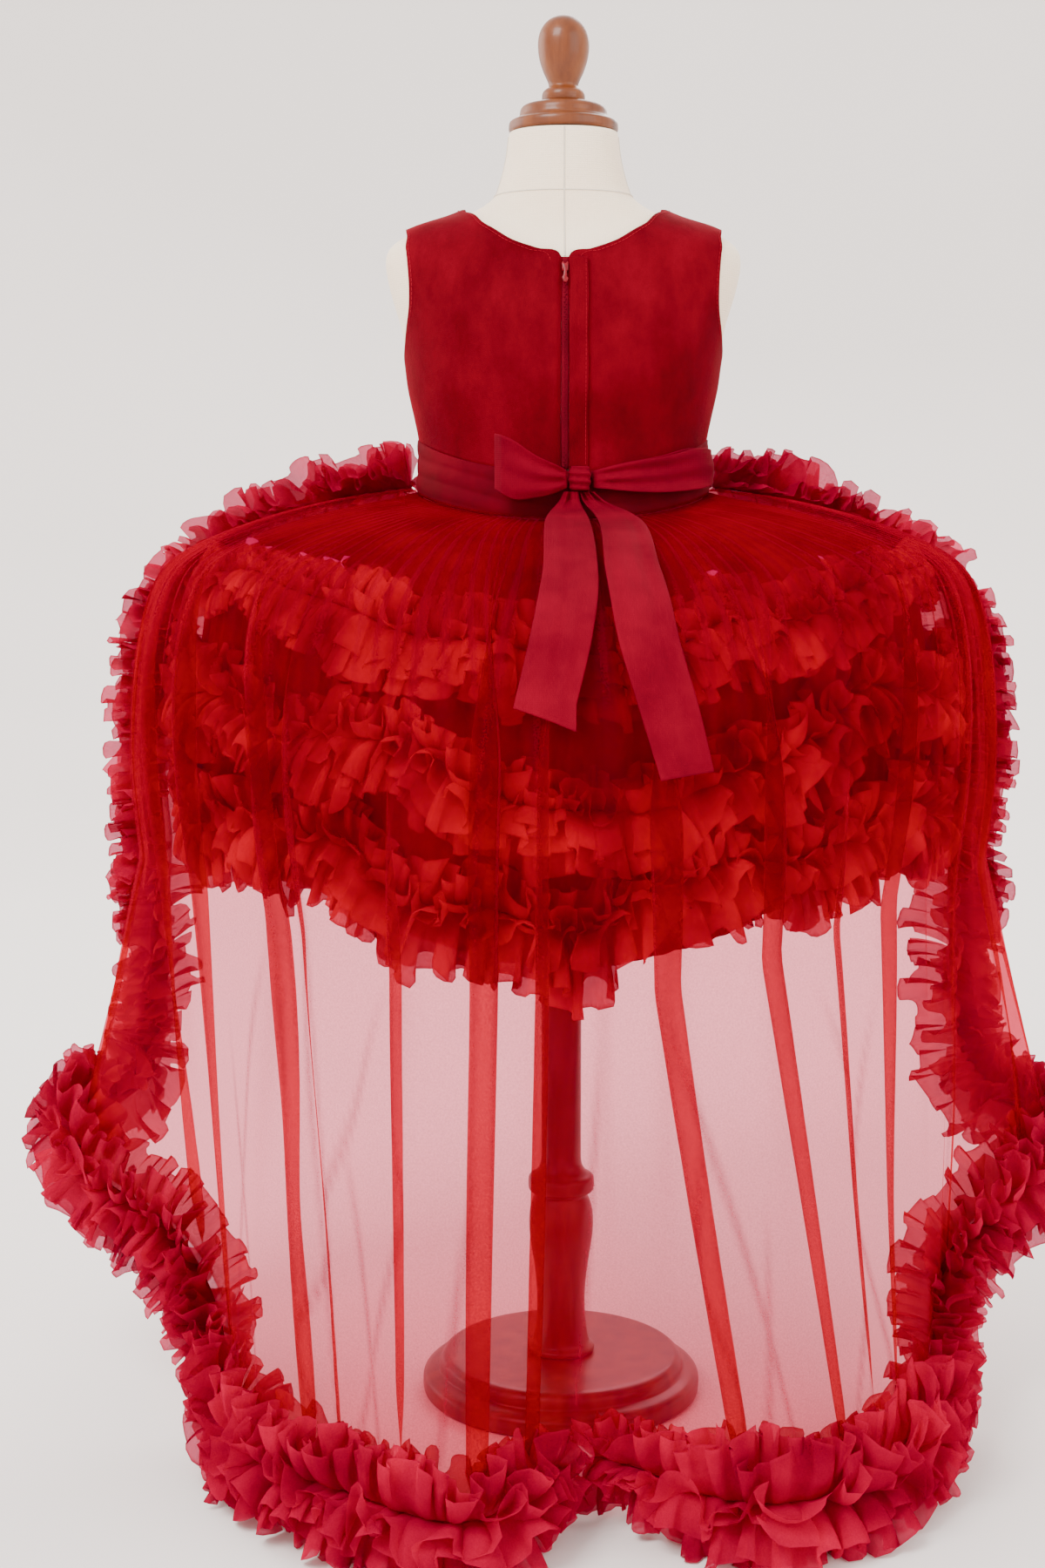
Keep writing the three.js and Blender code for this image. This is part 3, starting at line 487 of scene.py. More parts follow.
def netting_material(name, dark, light, cover, edge_cover, through, tint, crumpled):
    """Net that light passes: diffuse threads, lit from behind too, over holes. The edge attribute,
    1 along a folded edge, makes the net thicker there. What shows through takes on the tint."""
    nodes = Nodes(name)
    edge = nodes.add("ShaderNodeAttribute", attribute_name="edge").outputs["Fac"]
    patch = nodes.noise(22.0, 2.0)
    net = nodes.noise(900.0, 1.0, 0.6)
    colour = nodes.ramp(patch, [(0.3, dark), (0.7, light)])
    colour = nodes.mix(nodes.times(edge, 0.45), colour, dark)
    normal = nodes.bump(net, 0.25, 0.0004)
    if crumpled:
        normal = nodes.bump(nodes.noise(95.0, 2.0, 0.68), 0.65 * crumpled, 0.0028, normal)
    lit = {"Color": colour, "Normal": normal}
    front = nodes.add("ShaderNodeBsdfDiffuse", lit | {"Roughness": 0.6}).outputs[0]
    back = nodes.add("ShaderNodeBsdfTranslucent", lit).outputs[0]
    threads = nodes.add("ShaderNodeMixShader", {"Fac": through, 1: front, 2: back}).outputs[0]
    grainy = nodes.times(nodes.maths("SUBTRACT", net, 0.5), 0.3)
    base = nodes.plus(nodes.times(edge, edge_cover - cover), cover)
    share = nodes.add("ShaderNodeMath", {0: base, 1: grainy}, operation="ADD", use_clamp=True).outputs[0]
    clear = nodes.add("ShaderNodeBsdfTransparent", {"Color": (*tint, 1.0)}).outputs[0]
    # Shadows pass through the thin net alone, which keeps a render short
    nodes.material.use_transparent_shadow = cover < 0.5
    return nodes.finish(nodes.add("ShaderNodeMixShader", {"Fac": share, 1: clear, 2: threads}).outputs[0])


def metal_material():
    nodes = Nodes("zip_lacquer")
    wear = nodes.noise(300.0, 3.0)
    colour = nodes.ramp(wear, [(0.35, (0.13, 0.0003, 0.005)), (0.75, (0.2, 0.0006, 0.009))])
    rough = nodes.plus(nodes.times(wear, 0.2), 0.22)
    normal = nodes.bump(wear, 0.1, 0.0002)
    return nodes.finish(principled(nodes, colour, rough, normal, Specular_IOR_Level=0.2))


def backdrop_material():
    nodes = Nodes("backdrop")
    tone = nodes.noise(1.2, 2.0)
    colour = nodes.ramp(tone, [(0.3, (0.845, 0.80, 0.775)), (0.7, (0.865, 0.82, 0.795))])
    return nodes.finish(principled(nodes, colour, 0.95, Specular_IOR_Level=0.1))


# Name, dark and light colour, roughness, threads per metre and sheen
CLOTHS = {
    "sash": ("sash_cloth", (0.065, 0.0001, 0.003), (0.135, 0.0002, 0.007), 0.75, 500.0, 0.02),
    "bow": ("bow_cloth", (0.10, 0.0001, 0.006), (0.165, 0.0001, 0.010), 0.85, 320.0, 0.01),
    "zip_tape": ("zip_tape_cloth", (0.09, 0.0008, 0.006), (0.15, 0.002, 0.01), 0.7, 700.0, 0.1),
    "thread": ("thread", (0.20, 0.001, 0.01), (0.40, 0.006, 0.024), 0.6, 900.0, 0.2),
    "cord": ("form_seam", (0.60, 0.53, 0.44), (0.70, 0.63, 0.54), 0.85, 500.0, 0.1),
}
# Name, dark and light colour, cover, cover along a folded edge, share of the light that comes through
# the threads, tint of what shows through, and crumple
NETS = {
    "underskirt": (
        "underskirt_net", (0.18, 0.0002, 0.010), (0.32, 0.0004, 0.02), 0.95, 1.0, 0.3, (0.8, 0.2, 0.2), 0.6,
    ),
    "ruffle": (
        "ruffle_net", (0.28, 0.0002, 0.024), (0.60, 0.0006, 0.055), 0.7, 0.97, 0.34, (0.93, 0.34, 0.46), 1.0,
    ),
    # The tiers' net is the same red net as the ruffles, painted lighter and with more contrast: painted
    # light and painted highlights on the tiers that lie in shade behind the train.
    "tier": (
        "tier_net_painted_light", (0.22, 0.0002, 0.032), (0.72, 0.0008, 0.105), 0.8, 0.97, 0.3, (0.93, 0.34, 0.46), 1.0,
    ),
    "train": (
        "train_net", (0.36, 0.0005, 0.034), (0.48, 0.0008, 0.046), 0.29, 0.74, 0.84, (0.95, 0.34, 0.42), 0.0,
    ),
}


def make_materials():
    materials = {"wood": wood_material(), "linen": linen_material(), "velvet": velvet_material()}
    materials |= {key: cloth_material(*row) for key, row in CLOTHS.items()}
    materials |= {key: netting_material(*row) for key, row in NETS.items()}
    return materials | {"zip_metal": metal_material(), "backdrop": backdrop_material()}


LOOKS = make_materials()


def dress_piece(piece, look, node_names, body=BODY_NAME):
    """Finishes a piece: its material, the nodes it stands for and the body it rides on."""
    piece.data.materials.append(LOOKS[look])
    if node_names:
        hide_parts(*node_names)
    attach(piece, body)
    return piece


# Stand and form

# Height and radius of each turned piece
PROFILES = {
    "stand_base": [
        (0, 0), (0, 96), (1, 98.4), (4, 99), (10.5, 99), (13, 97.6), (15, 94.5), (16.2, 89.5), (17, 87.6),
        (20, 87), (24, 85.5), (26.4, 82.4), (27, 79), (27, 0),
    ],
    "stand_post": [
        (27.3, 0), (27.3, 22.6), (28.6, 24), (31.5, 24), (33, 21.6), (34.5, 20), (42, 18.4), (52, 17.3),
        (64, 16.9), (75, 17.3), (88, 18.7), (98, 20.2), (112, 22.4), (122, 23), (131, 22.5), (139, 20.3),
        (142.5, 18.2), (144, 19.8), (145.5, 22.6), (148, 23.5), (154, 23.5), (156.5, 22.4), (158, 19.5),
        (160, 17), (165, 14.2), (175, 14), (499.7, 14), (499.7, 0),
    ],
    "neck_cap": [
        (878.3, 0), (878.3, 35.6), (879.5, 36.8), (881, 37), (884.5, 36.8), (886, 35.6), (887.2, 32),
        (888.5, 30.2), (890, 29.6), (893.4, 29.2), (895.6, 27.6), (897, 24.6), (897, 0),
    ],
    "finial": [
        (897.3, 0), (897.3, 12.2), (898.4, 14), (900.5, 14.6), (904, 14.5), (906.4, 13), (908, 10.4),
        (909.5, 9.8), (912, 10.6), (919, 14.0), (928, 16.8), (937, 17.5), (943, 16.6), (948.5, 14),
        (952.5, 10.2), (955, 5.6), (956, 0),
    ],
}
TURNED_SEGMENTS = 72


def revolved(profile, segments):
    """A grid of points round the upright axis, from heights and radii."""
    turn = turns(segments)
    return stack(profile[:, 1] * np.cos(turn), profile[:, 1] * np.sin(turn), profile[:, 0])


def turned(name):
    """A turned piece with rounded corners: its profile cut back at the corners twice, then revolved."""
    profile = np.array(PROFILES[name], float)
    for _ in range(2):
        cut = [profile[0]]
        for first, second in zip(profile[:-1], profile[1:]):
            cut.append(first * 0.75 + second * 0.25)
            cut.append(first * 0.25 + second * 0.75)
        cut.append(profile[-1])
        profile = np.array(cut)
    profile[:, 1] = np.maximum(profile[:, 1], 0.02)
    return link_mesh(f"{name}_turned", *sheet_parts(revolved(profile, TURNED_SEGMENTS)))


def add_stand():
    for name in PROFILES:
        dress_piece(turned(name), "wood", [name])


def tube_parts(points, radius, sides=8):
    """Vertices and faces of a thin tube along points."""
    ahead = unit(np.gradient(points, axis=0))
    guide = np.where(np.abs(ahead[:, 1:2]) < 0.9, [[0.0, 1.0, 0.0]], [[1.0, 0.0, 0.0]])
    first = unit(np.cross(ahead, guide))
    second = np.cross(ahead, first)
    angle = turns(sides)[:, None]
    return sheet_parts(points + radius * (np.cos(angle) * first + np.sin(angle) * second))


FORM_LOW = 500.0
FORM_TOP = 877.6
NECK_SEAM_Z = 836.0
SEAM_RADIUS = 0.42


def add_form():
    z = np.concatenate([np.linspace(FORM_LOW, 700, 20), np.linspace(702, FORM_TOP, 70)])
    grid = on_body(turns(110), z, -FORM_INSET)
    low, top = stack(0.0, 0.0, np.array([FORM_LOW, FORM_TOP]))
    grid = np.concatenate([grid[:, :1] * 0.0 + low, grid, grid[:, :1] * 0.0 + top], axis=1)
    piece = link_mesh("form_torso_cover", *sheet_parts(grid))
    dress_piece(piece, "linen", ["form_torso"])
    out = 0.2 - FORM_INSET
    lines = [on_body(np.zeros(60), np.linspace(790, 877, 60), out + 0.05)]
    lines.append(on_body(np.linspace(0, 2 * np.pi, 121), np.full(121, NECK_SEAM_Z), out))
    lines += [on_body(np.full(30, side), np.linspace(806, 876, 30), out) for side in (1.57, 4.71)]
    seams = joined("form_seams", [tube_parts(line, SEAM_RADIUS) for line in lines])
    dress_piece(seams, "cord", [])


# Bodice

PANEL_COLUMNS = 46
PANEL_ROWS = 60
# How far the bodice goes down behind the sash
BODICE_TUCK = 3.0


def panel(edges, is_back, out, columns=PANEL_COLUMNS, rows=PANEL_ROWS):
    """Half of a panel on the +X side, from its inner edge (column 0) to its outer edge."""
    edges = np.array(edges, float)
    lines = {
        "row": np.arange(len(edges), dtype=float),
        "in_turn": body_turn(edges[:, 0], edges[:, 1], out),
        "in_z": edges[:, 1],
        "out_turn": body_turn(edges[:, 2], edges[:, 3], out),
        "out_z": edges[:, 3],
    }
    row = np.linspace(0, len(edges) - 1, rows)
    at = along(lines, row)
    shoulder_end = oval(along(BODY, edges[-1, 3] - out), np.pi / 2, out, 0.0)[0]
    shoulder_x = lerp(edges[-2, 2], shoulder_end, np.clip(row - len(edges) + 2, 0, 1))
    shoulder_turn = body_turn(shoulder_x, at["out_z"], out)
    at["out_turn"] = np.where(row > len(edges) - 2, shoulder_turn, at["out_turn"])
    share = steps(columns)
    turn = np.clip(lerp(at["in_turn"], at["out_turn"], share), 0, np.pi / 2)
    around = turn if is_back else np.pi - turn
    waist = waist_line(SASH_TOP, around) - BODICE_TUCK - lerp(edges[0, 1], edges[0, 3], share)
    z = lerp(at["in_z"], at["out_z"], share) + waist * np.clip(1 - row / 2, 0, 1)
    side = 0.0025 * smooth(share, 0.7, 1)
    return on_body(around + (-side if is_back else side), z, out)


def soft_dents(points, amount, seed):
    """Small smooth offsets over a grid, from a few seeded waves."""
    source = np.random.default_rng(seed)
    total = np.zeros(points.shape[:-1])
    for _ in range(7):
        direction = source.normal(size=3)
        direction /= np.linalg.norm(direction)
        length = source.uniform(22, 60)
        total += np.sin(points @ direction * (2 * np.pi / length) + source.uniform(0, 6.28))
    return total * (amount / 3.5)


def add_bodice():
    for side, name in ((1, "bodice_back_right"), (-1, "bodice_back_left")):
        grid = panel(BACK_EDGES, True, BODICE_OUT)
        grid += grid_normals(grid) * soft_dents(grid * [1, side, 1], 0.35, 3)[..., None]
        grid[..., 0] *= side
        piece = wall(f"{name}_velvet", grid if side > 0 else grid[::-1], CLOTH)
        dress_piece(piece, "velvet", [name])
    grid = panel(FRONT_EDGES, False, BODICE_OUT)
    grid += grid_normals(grid) * soft_dents(grid, -0.3, 5)[..., None]
    half = wall_parts(grid[::-1], CLOTH)
    mirrored = (half[0] * [-1, 1, 1], half[1][:, ::-1])
    piece = joined("bodice_front_velvet", [half, mirrored])
    dress_piece(piece, "velvet", ["bodice_front"])


def back_strip(from_x, to_x, low, high, out, columns, rows):
    """A level strip of points on the bodice's back."""
    x = np.linspace(from_x, to_x, columns)[:, None]
    z = np.linspace(low, high, rows)
    ring = along(BODY, z - out)
    share = np.abs(x) / (ring["width"] + out)
    y = -(ring["back"] + out) * (1 - share**BODY_SQUARENESS) ** (1 / BODY_SQUARENESS)
    return stack(x, y, z)


# The slider and its pull lean with the bodice's back, in radians
PULL_LEAN = 0.3
TAPE_HALF = 2.45
TAPE_OUT = FORM_CLEARANCE + 1
ZIP_TOP = 789
TEETH = {"low": 654, "high": 778, "step": 1.6}
TOOTH = {"aside": 0.45, "half_width": 0.5, "half_height": 0.4, "thickness": 0.5}
PLACKET = {"from_x": 2.9, "to_x": 15, "low": 653.5, "out": BODICE_OUT + 1.9, "thickness": 0.9}
SLIDER_OUTLINE = [
    (-1.9, -3.0), (-1.2, -3.4), (1.2, -3.4), (1.9, -3.0), (2.3, 2.2), (1.5, 3.1), (0.5, 1.9), (-0.5, 1.9),
    (-1.5, 3.1), (-2.3, 2.2),
]
# Depth and size of the rings of the slider and of the pull
SLIDER_LEVELS = [(0.0, 0.86), (0.4, 1.0), (1.7, 1.0), (2.3, 0.8)]
PULL_LEVELS = [(0, 0.84), (0.22, 1), (0.78, 1), (1.0, 0.84)]


def add_zip():
    tape = wall("zip_tape_cloth", back_strip(-TAPE_HALF, TAPE_HALF, 652.5, ZIP_TOP, TAPE_OUT, 5, 60), 0.6)
    dress_piece(tape, "zip_tape", ["zip_tape"])
    teeth = []
    across, up = TOOTH["half_width"], TOOTH["half_height"]
    for k, z in enumerate(np.arange(TEETH["low"], TEETH["high"], TEETH["step"])):
        x = TOOTH["aside"] if k % 2 else -TOOTH["aside"]
        line = back_strip(x - across, x + across, z - up, z + up, TAPE_OUT + 0.5, 3, 3)
        teeth.append(wall_parts(line, TOOTH["thickness"]))
    dress_piece(joined("zip_coil", teeth), "zip_tape", [])
    grid = back_strip(PLACKET["from_x"], PLACKET["to_x"], PLACKET["low"], ZIP_TOP, PLACKET["out"], 26, 90)
    bulge = 0.35 * np.sin(np.pi * np.minimum(1, steps(26) * 2.2))
    grid[..., 1] -= bulge + 0.12 * np.sin(np.linspace(0, 40, 90))
    grid[..., 0] += 0.3 * np.sin(np.linspace(0, 17, 90))
    piece = wall("zip_placket_velvet", grid, PLACKET["thickness"])
    dress_piece(piece, "velvet", ["zip_placket"])
    add_stitches()
    low, high = (np.array(corner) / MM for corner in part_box("zip_slider"))
    place = (low + high) / 2 + [0, 1.1, 0]
    slider = plate("zip_slider_body", np.array(SLIDER_OUTLINE), SLIDER_LEVELS, place)
    dress_piece(slider, "zip_metal", ["zip_slider"])
    angle = turns(36)[:, 0]
    rise = np.cos(angle)
    width = np.where(rise > 0, 0.9 + 0.35 * (1 - rise), 2.0 - 0.15 * rise**2)
    outline = np.stack([np.sin(angle) * width, np.where(rise > 0, 8.2, 3.4) * rise - 8.4], axis=-1)
    low, high = (np.array(corner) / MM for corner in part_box("zip_pull"))
    hinge = np.array([0.0, high[1] - 0.45, high[2] - 0.15])
    drop = plate("zip_pull_drop", outline, PULL_LEVELS, hinge)
    dress_piece(drop, "zip_metal", ["zip_pull"], PULL_BODY)


def plate(name, outline, levels, place):
    """A small plate with eased edges, leaning back with the bodice. Levels hold depth and size."""
    middle = outline.mean(axis=0)
    half = levels[-1][0] / 2
    rings = [(-half, 0.0), *((depth - half, size) for depth, size in levels), (half, 0.0)]
    grids = []
    for depth, size in rings:
        ring = middle + (outline - middle) * size
        grids.append(stack(ring[:, 0], depth, ring[:, 1]))
    grid = np.stack(grids, axis=1)
    c, s = math.cos(PULL_LEAN), math.sin(PULL_LEAN)
    turned_y = grid[..., 1] * c + grid[..., 2] * s
    turned_z = -grid[..., 1] * s + grid[..., 2] * c
    grid = stack(grid[..., 0], turned_y, turned_z) + place
    return link_mesh(name, *sheet_parts(grid))


STITCH = 2.2


def stitch_parts(line, gap, radius):
    """Short raised threads along a line of points."""
    along_line = walked(line)
    parts = []
    for start in np.arange(0.5, along_line[-1] - STITCH, STITCH + gap):
        points = picked(line, along_line, np.linspace(start, start + STITCH, 4))
        parts.append(tube_parts(points, radius, 5))
    return parts


def add_stitches():
    parts = stitch_parts(back_strip(13.6, 13.7, 655, 788, BODICE_OUT + 2.25, 2, 60)[0], 0.7, 0.16)
    for side in (1, -1):
        for edges, is_back, first in ((BACK_EDGES, True, 36), (FRONT_EDGES, False, 32)):
            fine = panel(edges, is_back, BODICE_OUT + 0.35, 48, 84)
            for line in (fine[-3, 30:-1], fine[2, first:-1]):
                parts += stitch_parts(line * [side, 1, 1], 0.8, 0.15)
    dress_piece(joined("edge_stitches", parts), "thread", [])


# Sash and bow

SASH_COLUMNS = 260
SASH_PLEATS = 3.0
SASH_THICKNESS = 2.0
# How far the sash hangs below the waist seam
SASH_DROP = 2.2


def add_sash():
    turn = turns(SASH_COLUMNS)
    share = np.linspace(0, 1, 30)
    z = lerp(waist_line(SASH_BOTTOM, turn) - SASH_DROP, waist_line(SASH_TOP, turn), share)
    drift = 0.35 * noise_line(SASH_COLUMNS, 34, 21, True)
    pleats = 0.75 * np.abs(np.sin(np.pi * (SASH_PLEATS * share + drift))) ** 0.7
    crumple = 0.35 * noise_line(SASH_COLUMNS, 5, 22, True) * np.sin(np.pi * share)
    rounding = 0.9 * (np.abs(2 * share - 1) ** 4)
    grid = on_body(turn, z, SASH_OUT - 0.7 + pleats + crumple - rounding)
    piece = wall("sash_folds", grid, SASH_THICKNESS, True)
    dress_piece(piece, "sash", ["sash_band"])


LOOP_LEFT = table(
    "reach x low high back front",
    [(0, 1.4, 640, 651, -80.5, -85.5), (0.34, -16, 634, 659, -81, -93), (0.67, -32, 632, 669, -80, -97),
     (1, -47, 640, 675, -79.5, -91)],
)
LOOP_RIGHT = table(
    "reach turn low high back front",
    [(0, 8.4, 640, 651, 5.9, 10.5), (0.34, 31, 637, 660, 5.9, 13), (0.67, 52, 640, 666, 5.9, 13),
     (1, 76, 645, 667, 5.9, 11)],
)
TAILS = {
    "bow_tail_left": table(
        "z left right",
        [(515, -33, 3), (553, -23.5, 12.5), (585, -16, 17), (616, -10, 11), (637, -1, 8.5)],
    ),
    "bow_tail_right": table(
        "z left right",
        [(476, 51, 84), (520, 37, 73), (553, 27, 63), (585, 21.5, 55), (616, 16, 40), (637, 9.5, 18)],
    ),
}
TAIL_SLANT = {"bow_tail_left": -15, "bow_tail_right": 9}
TAIL_TOP = 618
TAIL_OFF = 4.2
TAIL_LIFT = 3.0
# The height above which a tail rises towards the knot, and about how far it is from the middle axis
TAIL_RISE = 580
TAIL_RADIUS = 200
TAIL_SASH_LOW = 629.0
TAIL_OFF_SASH = 2.2
# The share of a tail's length where it leaves the skirt and climbs over the sash
TAIL_BEND = 0.86
TAIL_SEEDS = {"bow_tail_left": 31, "bow_tail_right": 47}
BOW_CLOTH = 0.7
KNOT = {"x": 9.5, "y": -82.0, "width": 7.5, "depth": 7.0, "low": 638.0, "high": 654.0, "squareness": 3.0}


def add_bow():
    # Place along a loop: how far out from the knot, and which side of the loop, front or back
    path = steps(90)
    up = np.linspace(0, 1, 34)
    reach = 1 - np.abs(2 * path - 1)
    side = smooth(path, 0.43, 0.57)
    row = along(LOOP_LEFT, reach * 0.985)
    wrinkle = 0.9 * np.sin(up * 15 + 2 * side) * (1 - reach) ** 0.6 * smooth(reach, 0, 0.1)
    slow = 1.4 * np.sin(up * 5 + reach * 3 + side * 2) * smooth(reach, 0.1, 0.6)
    y = lerp(row["back"], row["front"], side) + (wrinkle + slow * 0.6) * (2 * side - 1)
    z = lerp(row["low"], row["high"], up) + 0.8 * np.sin(reach * 9) * (up - 0.5)
    piece = wall("bow_loop_left_cloth", stack(row["x"], y, z), BOW_CLOTH)
    dress_piece(piece, "bow", ["bow_loop_left"])
    row = along(LOOP_RIGHT, reach * 0.985)
    wrinkle = 0.8 * np.sin(up * 14 + 1) * (1 - reach) ** 0.7 * smooth(reach, 0, 0.1)
    out = lerp(row["front"], row["back"] + 0.4, side) + wrinkle * (1 - side)
    out = out + 0.9 * np.sin(up * 6 + reach * 5) * (1 - side) * smooth(reach, 0.1, 0.5)
    z = lerp(row["low"], row["high"], up) + 0.9 * np.sin(reach * 11) * (up - 0.3)
    piece = wall("bow_loop_right_cloth", on_body(np.radians(row["turn"]), z, out), BOW_CLOTH)
    dress_piece(piece, "bow", ["bow_loop_right"])
    for name in TAILS:
        add_tail(name)
    turn = turns(72)
    share = np.linspace(0, 1, 40)
    size = 0.7 + 0.3 * np.sin(np.pi * share) ** 0.4
    folds = 0.35 * np.sin(share * 2 * np.pi * 3.2 + np.sin(turn) * 0.8)
    depth = KNOT["depth"] * size
    ring = {"width": KNOT["width"] * size + folds - 0.3, "back": depth + folds, "front": depth}
    z = lerp(KNOT["low"], KNOT["high"], share)
    grid = oval(ring, turn, 0, z, KNOT["squareness"]) + [KNOT["x"], KNOT["y"], 0]
    piece = wall("bow_knot_cloth", grid, 1.5, True)
    dress_piece(piece, "bow", ["bow_knot"])


def tail_points(name, across, z_share, lifted):
    """A bow tail's cloth: across from its left edge, z_share 0 at its end and 1 at the knot."""
    rows = TAILS[name]
    end = rows["z"][0] + TAIL_SLANT[name] * across
    height = lerp(end, TAIL_TOP, np.minimum(1, z_share / TAIL_BEND))
    edges = along(rows, height)
    x = lerp(edges["left"], edges["right"], across)
    level = level_at(x / TAIL_RADIUS, height)
    lift = along(TRAIN_LIFT, level)
    near_knot = smooth(height, TAIL_RISE, TAIL_TOP)
    out = lift["back"] + TAIL_OFF + TAIL_LIFT * near_knot + lifted
    width = along(DOME, level)["width"] + out
    over = on_dome(np.arcsin(x / width), level, out)
    over[..., 2] += lift["rise"] + TAIL_LIFT * near_knot
    top_z = lerp(TAIL_SASH_LOW, KNOT["low"] - 0.5, np.clip((z_share - TAIL_BEND) / (1 - TAIL_BEND), 0, 1))
    top = along(rows, top_z)
    top_x = lerp(top["left"], top["right"], across)
    turn = body_turn(np.abs(top_x), top_z, SASH_OUT) * np.sign(top_x)
    on_sash = on_body(turn, top_z, SASH_OUT + TAIL_OFF_SASH + lifted)
    share = smooth(z_share, 0.80, 0.92)[..., None]
    return over * (1 - share) + on_sash * share


def add_tail(name):
    across, z_share = np.broadcast_arrays(steps(34), np.linspace(0, 1, 110))
    seed = TAIL_SEEDS[name]
    fan = np.sin(across * 11 + seed) + 0.6 * np.sin(across * 21 + seed * 2 + z_share * 3)
    lifted = 1.3 * fan * (0.35 + 0.65 * z_share) + 0.9 * np.sin(z_share * 7 + across * 2 + seed)
    hem = smooth(z_share, 0.0, 0.012) * (1 - smooth(z_share, 0.03, 0.04))
    lifted = lifted + 0.45 * (1 - hem) * (z_share < 0.04)
    piece = wall(f"{name}_cloth", tail_points(name, across, z_share, lifted + 5.0), BOW_CLOTH)
    dress_piece(piece, "bow", [name])


# Skirt

# Each tier's height and seat on the dome, seed, sway, highest petal, how much smaller its petals are at
# the sides, and its net's flat length and width in metres
TIERS = {
    "ruffle_tier_1": {
        "z": 555, "seat": 5.2, "seed": 61, "sway": 11, "highest": 19, "at_side": 0.4, "cut": (6.8, 0.058),
    },
    "ruffle_tier_2": {
        "z": 481, "seat": 4.4, "seed": 67, "sway": 17, "highest": 34, "at_side": 0.0, "cut": (8.2, 0.068),
    },
    "ruffle_tier_3": {
        "z": 407, "seat": 5.0, "seed": 71, "sway": 17, "highest": 34, "at_side": 0.0, "cut": (8.2, 0.068),
    },
}
# Layers of net in a ruche: degrees off the cloth of the lower or free flap and of the other flap,
# the flaps' size, the depth of their flutes and how much wider than the pitch each flute is
TIER_LAYERS = [(14, 24, 0.92, 6.6, 1.0), (36, 48, 1.0, 8.2, 1.2), (60, 72, 0.84, 8.8, 1.45)]
TRIM_LAYERS = [
    (12, 20, 0.95, 6.8, 1.0), (40, 46, 1.0, 8.4, 1.22), (68, 74, 0.9, 8.8, 1.42), (-30, -36, 0.86, 6.6, 1.1),
]
TIER = {"pitch": 14.0, "free": 43.0, "other": 29.0, "bulge": 22.0}
TRIM = {"pitch": 13.5, "free": 45.0, "other": 43.0, "bulge": 14.0}
SECTIONS = 9
REACHES = np.array([0, 0.1, 0.24, 0.4, 0.56, 0.72, 0.86, 0.955, 1.0])
LAST_BAND = REACHES[-2]
# Degrees that a petal bends more at its root and less at its edge, and that it turns by itself
CURL = {"root": 20, "edge": 6, "own": 27}
# Least height over the cloth and over the floor, at the gathered line and at the petals' edges
OVER_CLOTH = (1.4, 3.0)
OVER_FLOOR = (0.5, 1.3)
UNDERSKIRT_COLUMNS = 560
# The dome's fine gathers and broad waves: how many go round, and how high they are
GATHERS = (112, 1.9)
WAVES = (16, 2.2)


def add_underskirt():
    turn = turns(UNDERSKIRT_COLUMNS)
    levels = np.concatenate([np.linspace(UNDERSKIRT_HEM, DOME_LEVEL, 8), np.linspace(566, 640.6, 16)])
    fine = np.cos(GATHERS[0] * turn + 3 * noise_line(UNDERSKIRT_COLUMNS, 28, 81, True))
    slow = np.cos(WAVES[0] * turn)
    fade = smooth(DOME_TOP - levels, 1, 40)
    strength = 0.8 + 0.4 * noise_line(UNDERSKIRT_COLUMNS, 9, 82, True)
    out = CLOTH + 0.4 + fade * (WAVES[1] * slow + GATHERS[1] * fine * strength)
    grid = on_dome(turn, levels, out)
    grid[..., 2] -= 1.8 * smooth(levels, 612, DOME_TOP)
    piece = wall("underskirt_net", grid, 0.8, True)
    dress_piece(piece, "underskirt", ["underskirt"])


def strip_noise(places, step, seed, length, closed):
    """Seeded noise between -1 and 1 along a strip, with a knot about every step millimetres."""
    knots = max(3, round(length / step))
    values = np.random.default_rng(seed).uniform(-1, 1, knots + 1)
    if closed:
        values[-1] = values[0]
    return between(values, np.clip(places / length * knots, 0, knots))


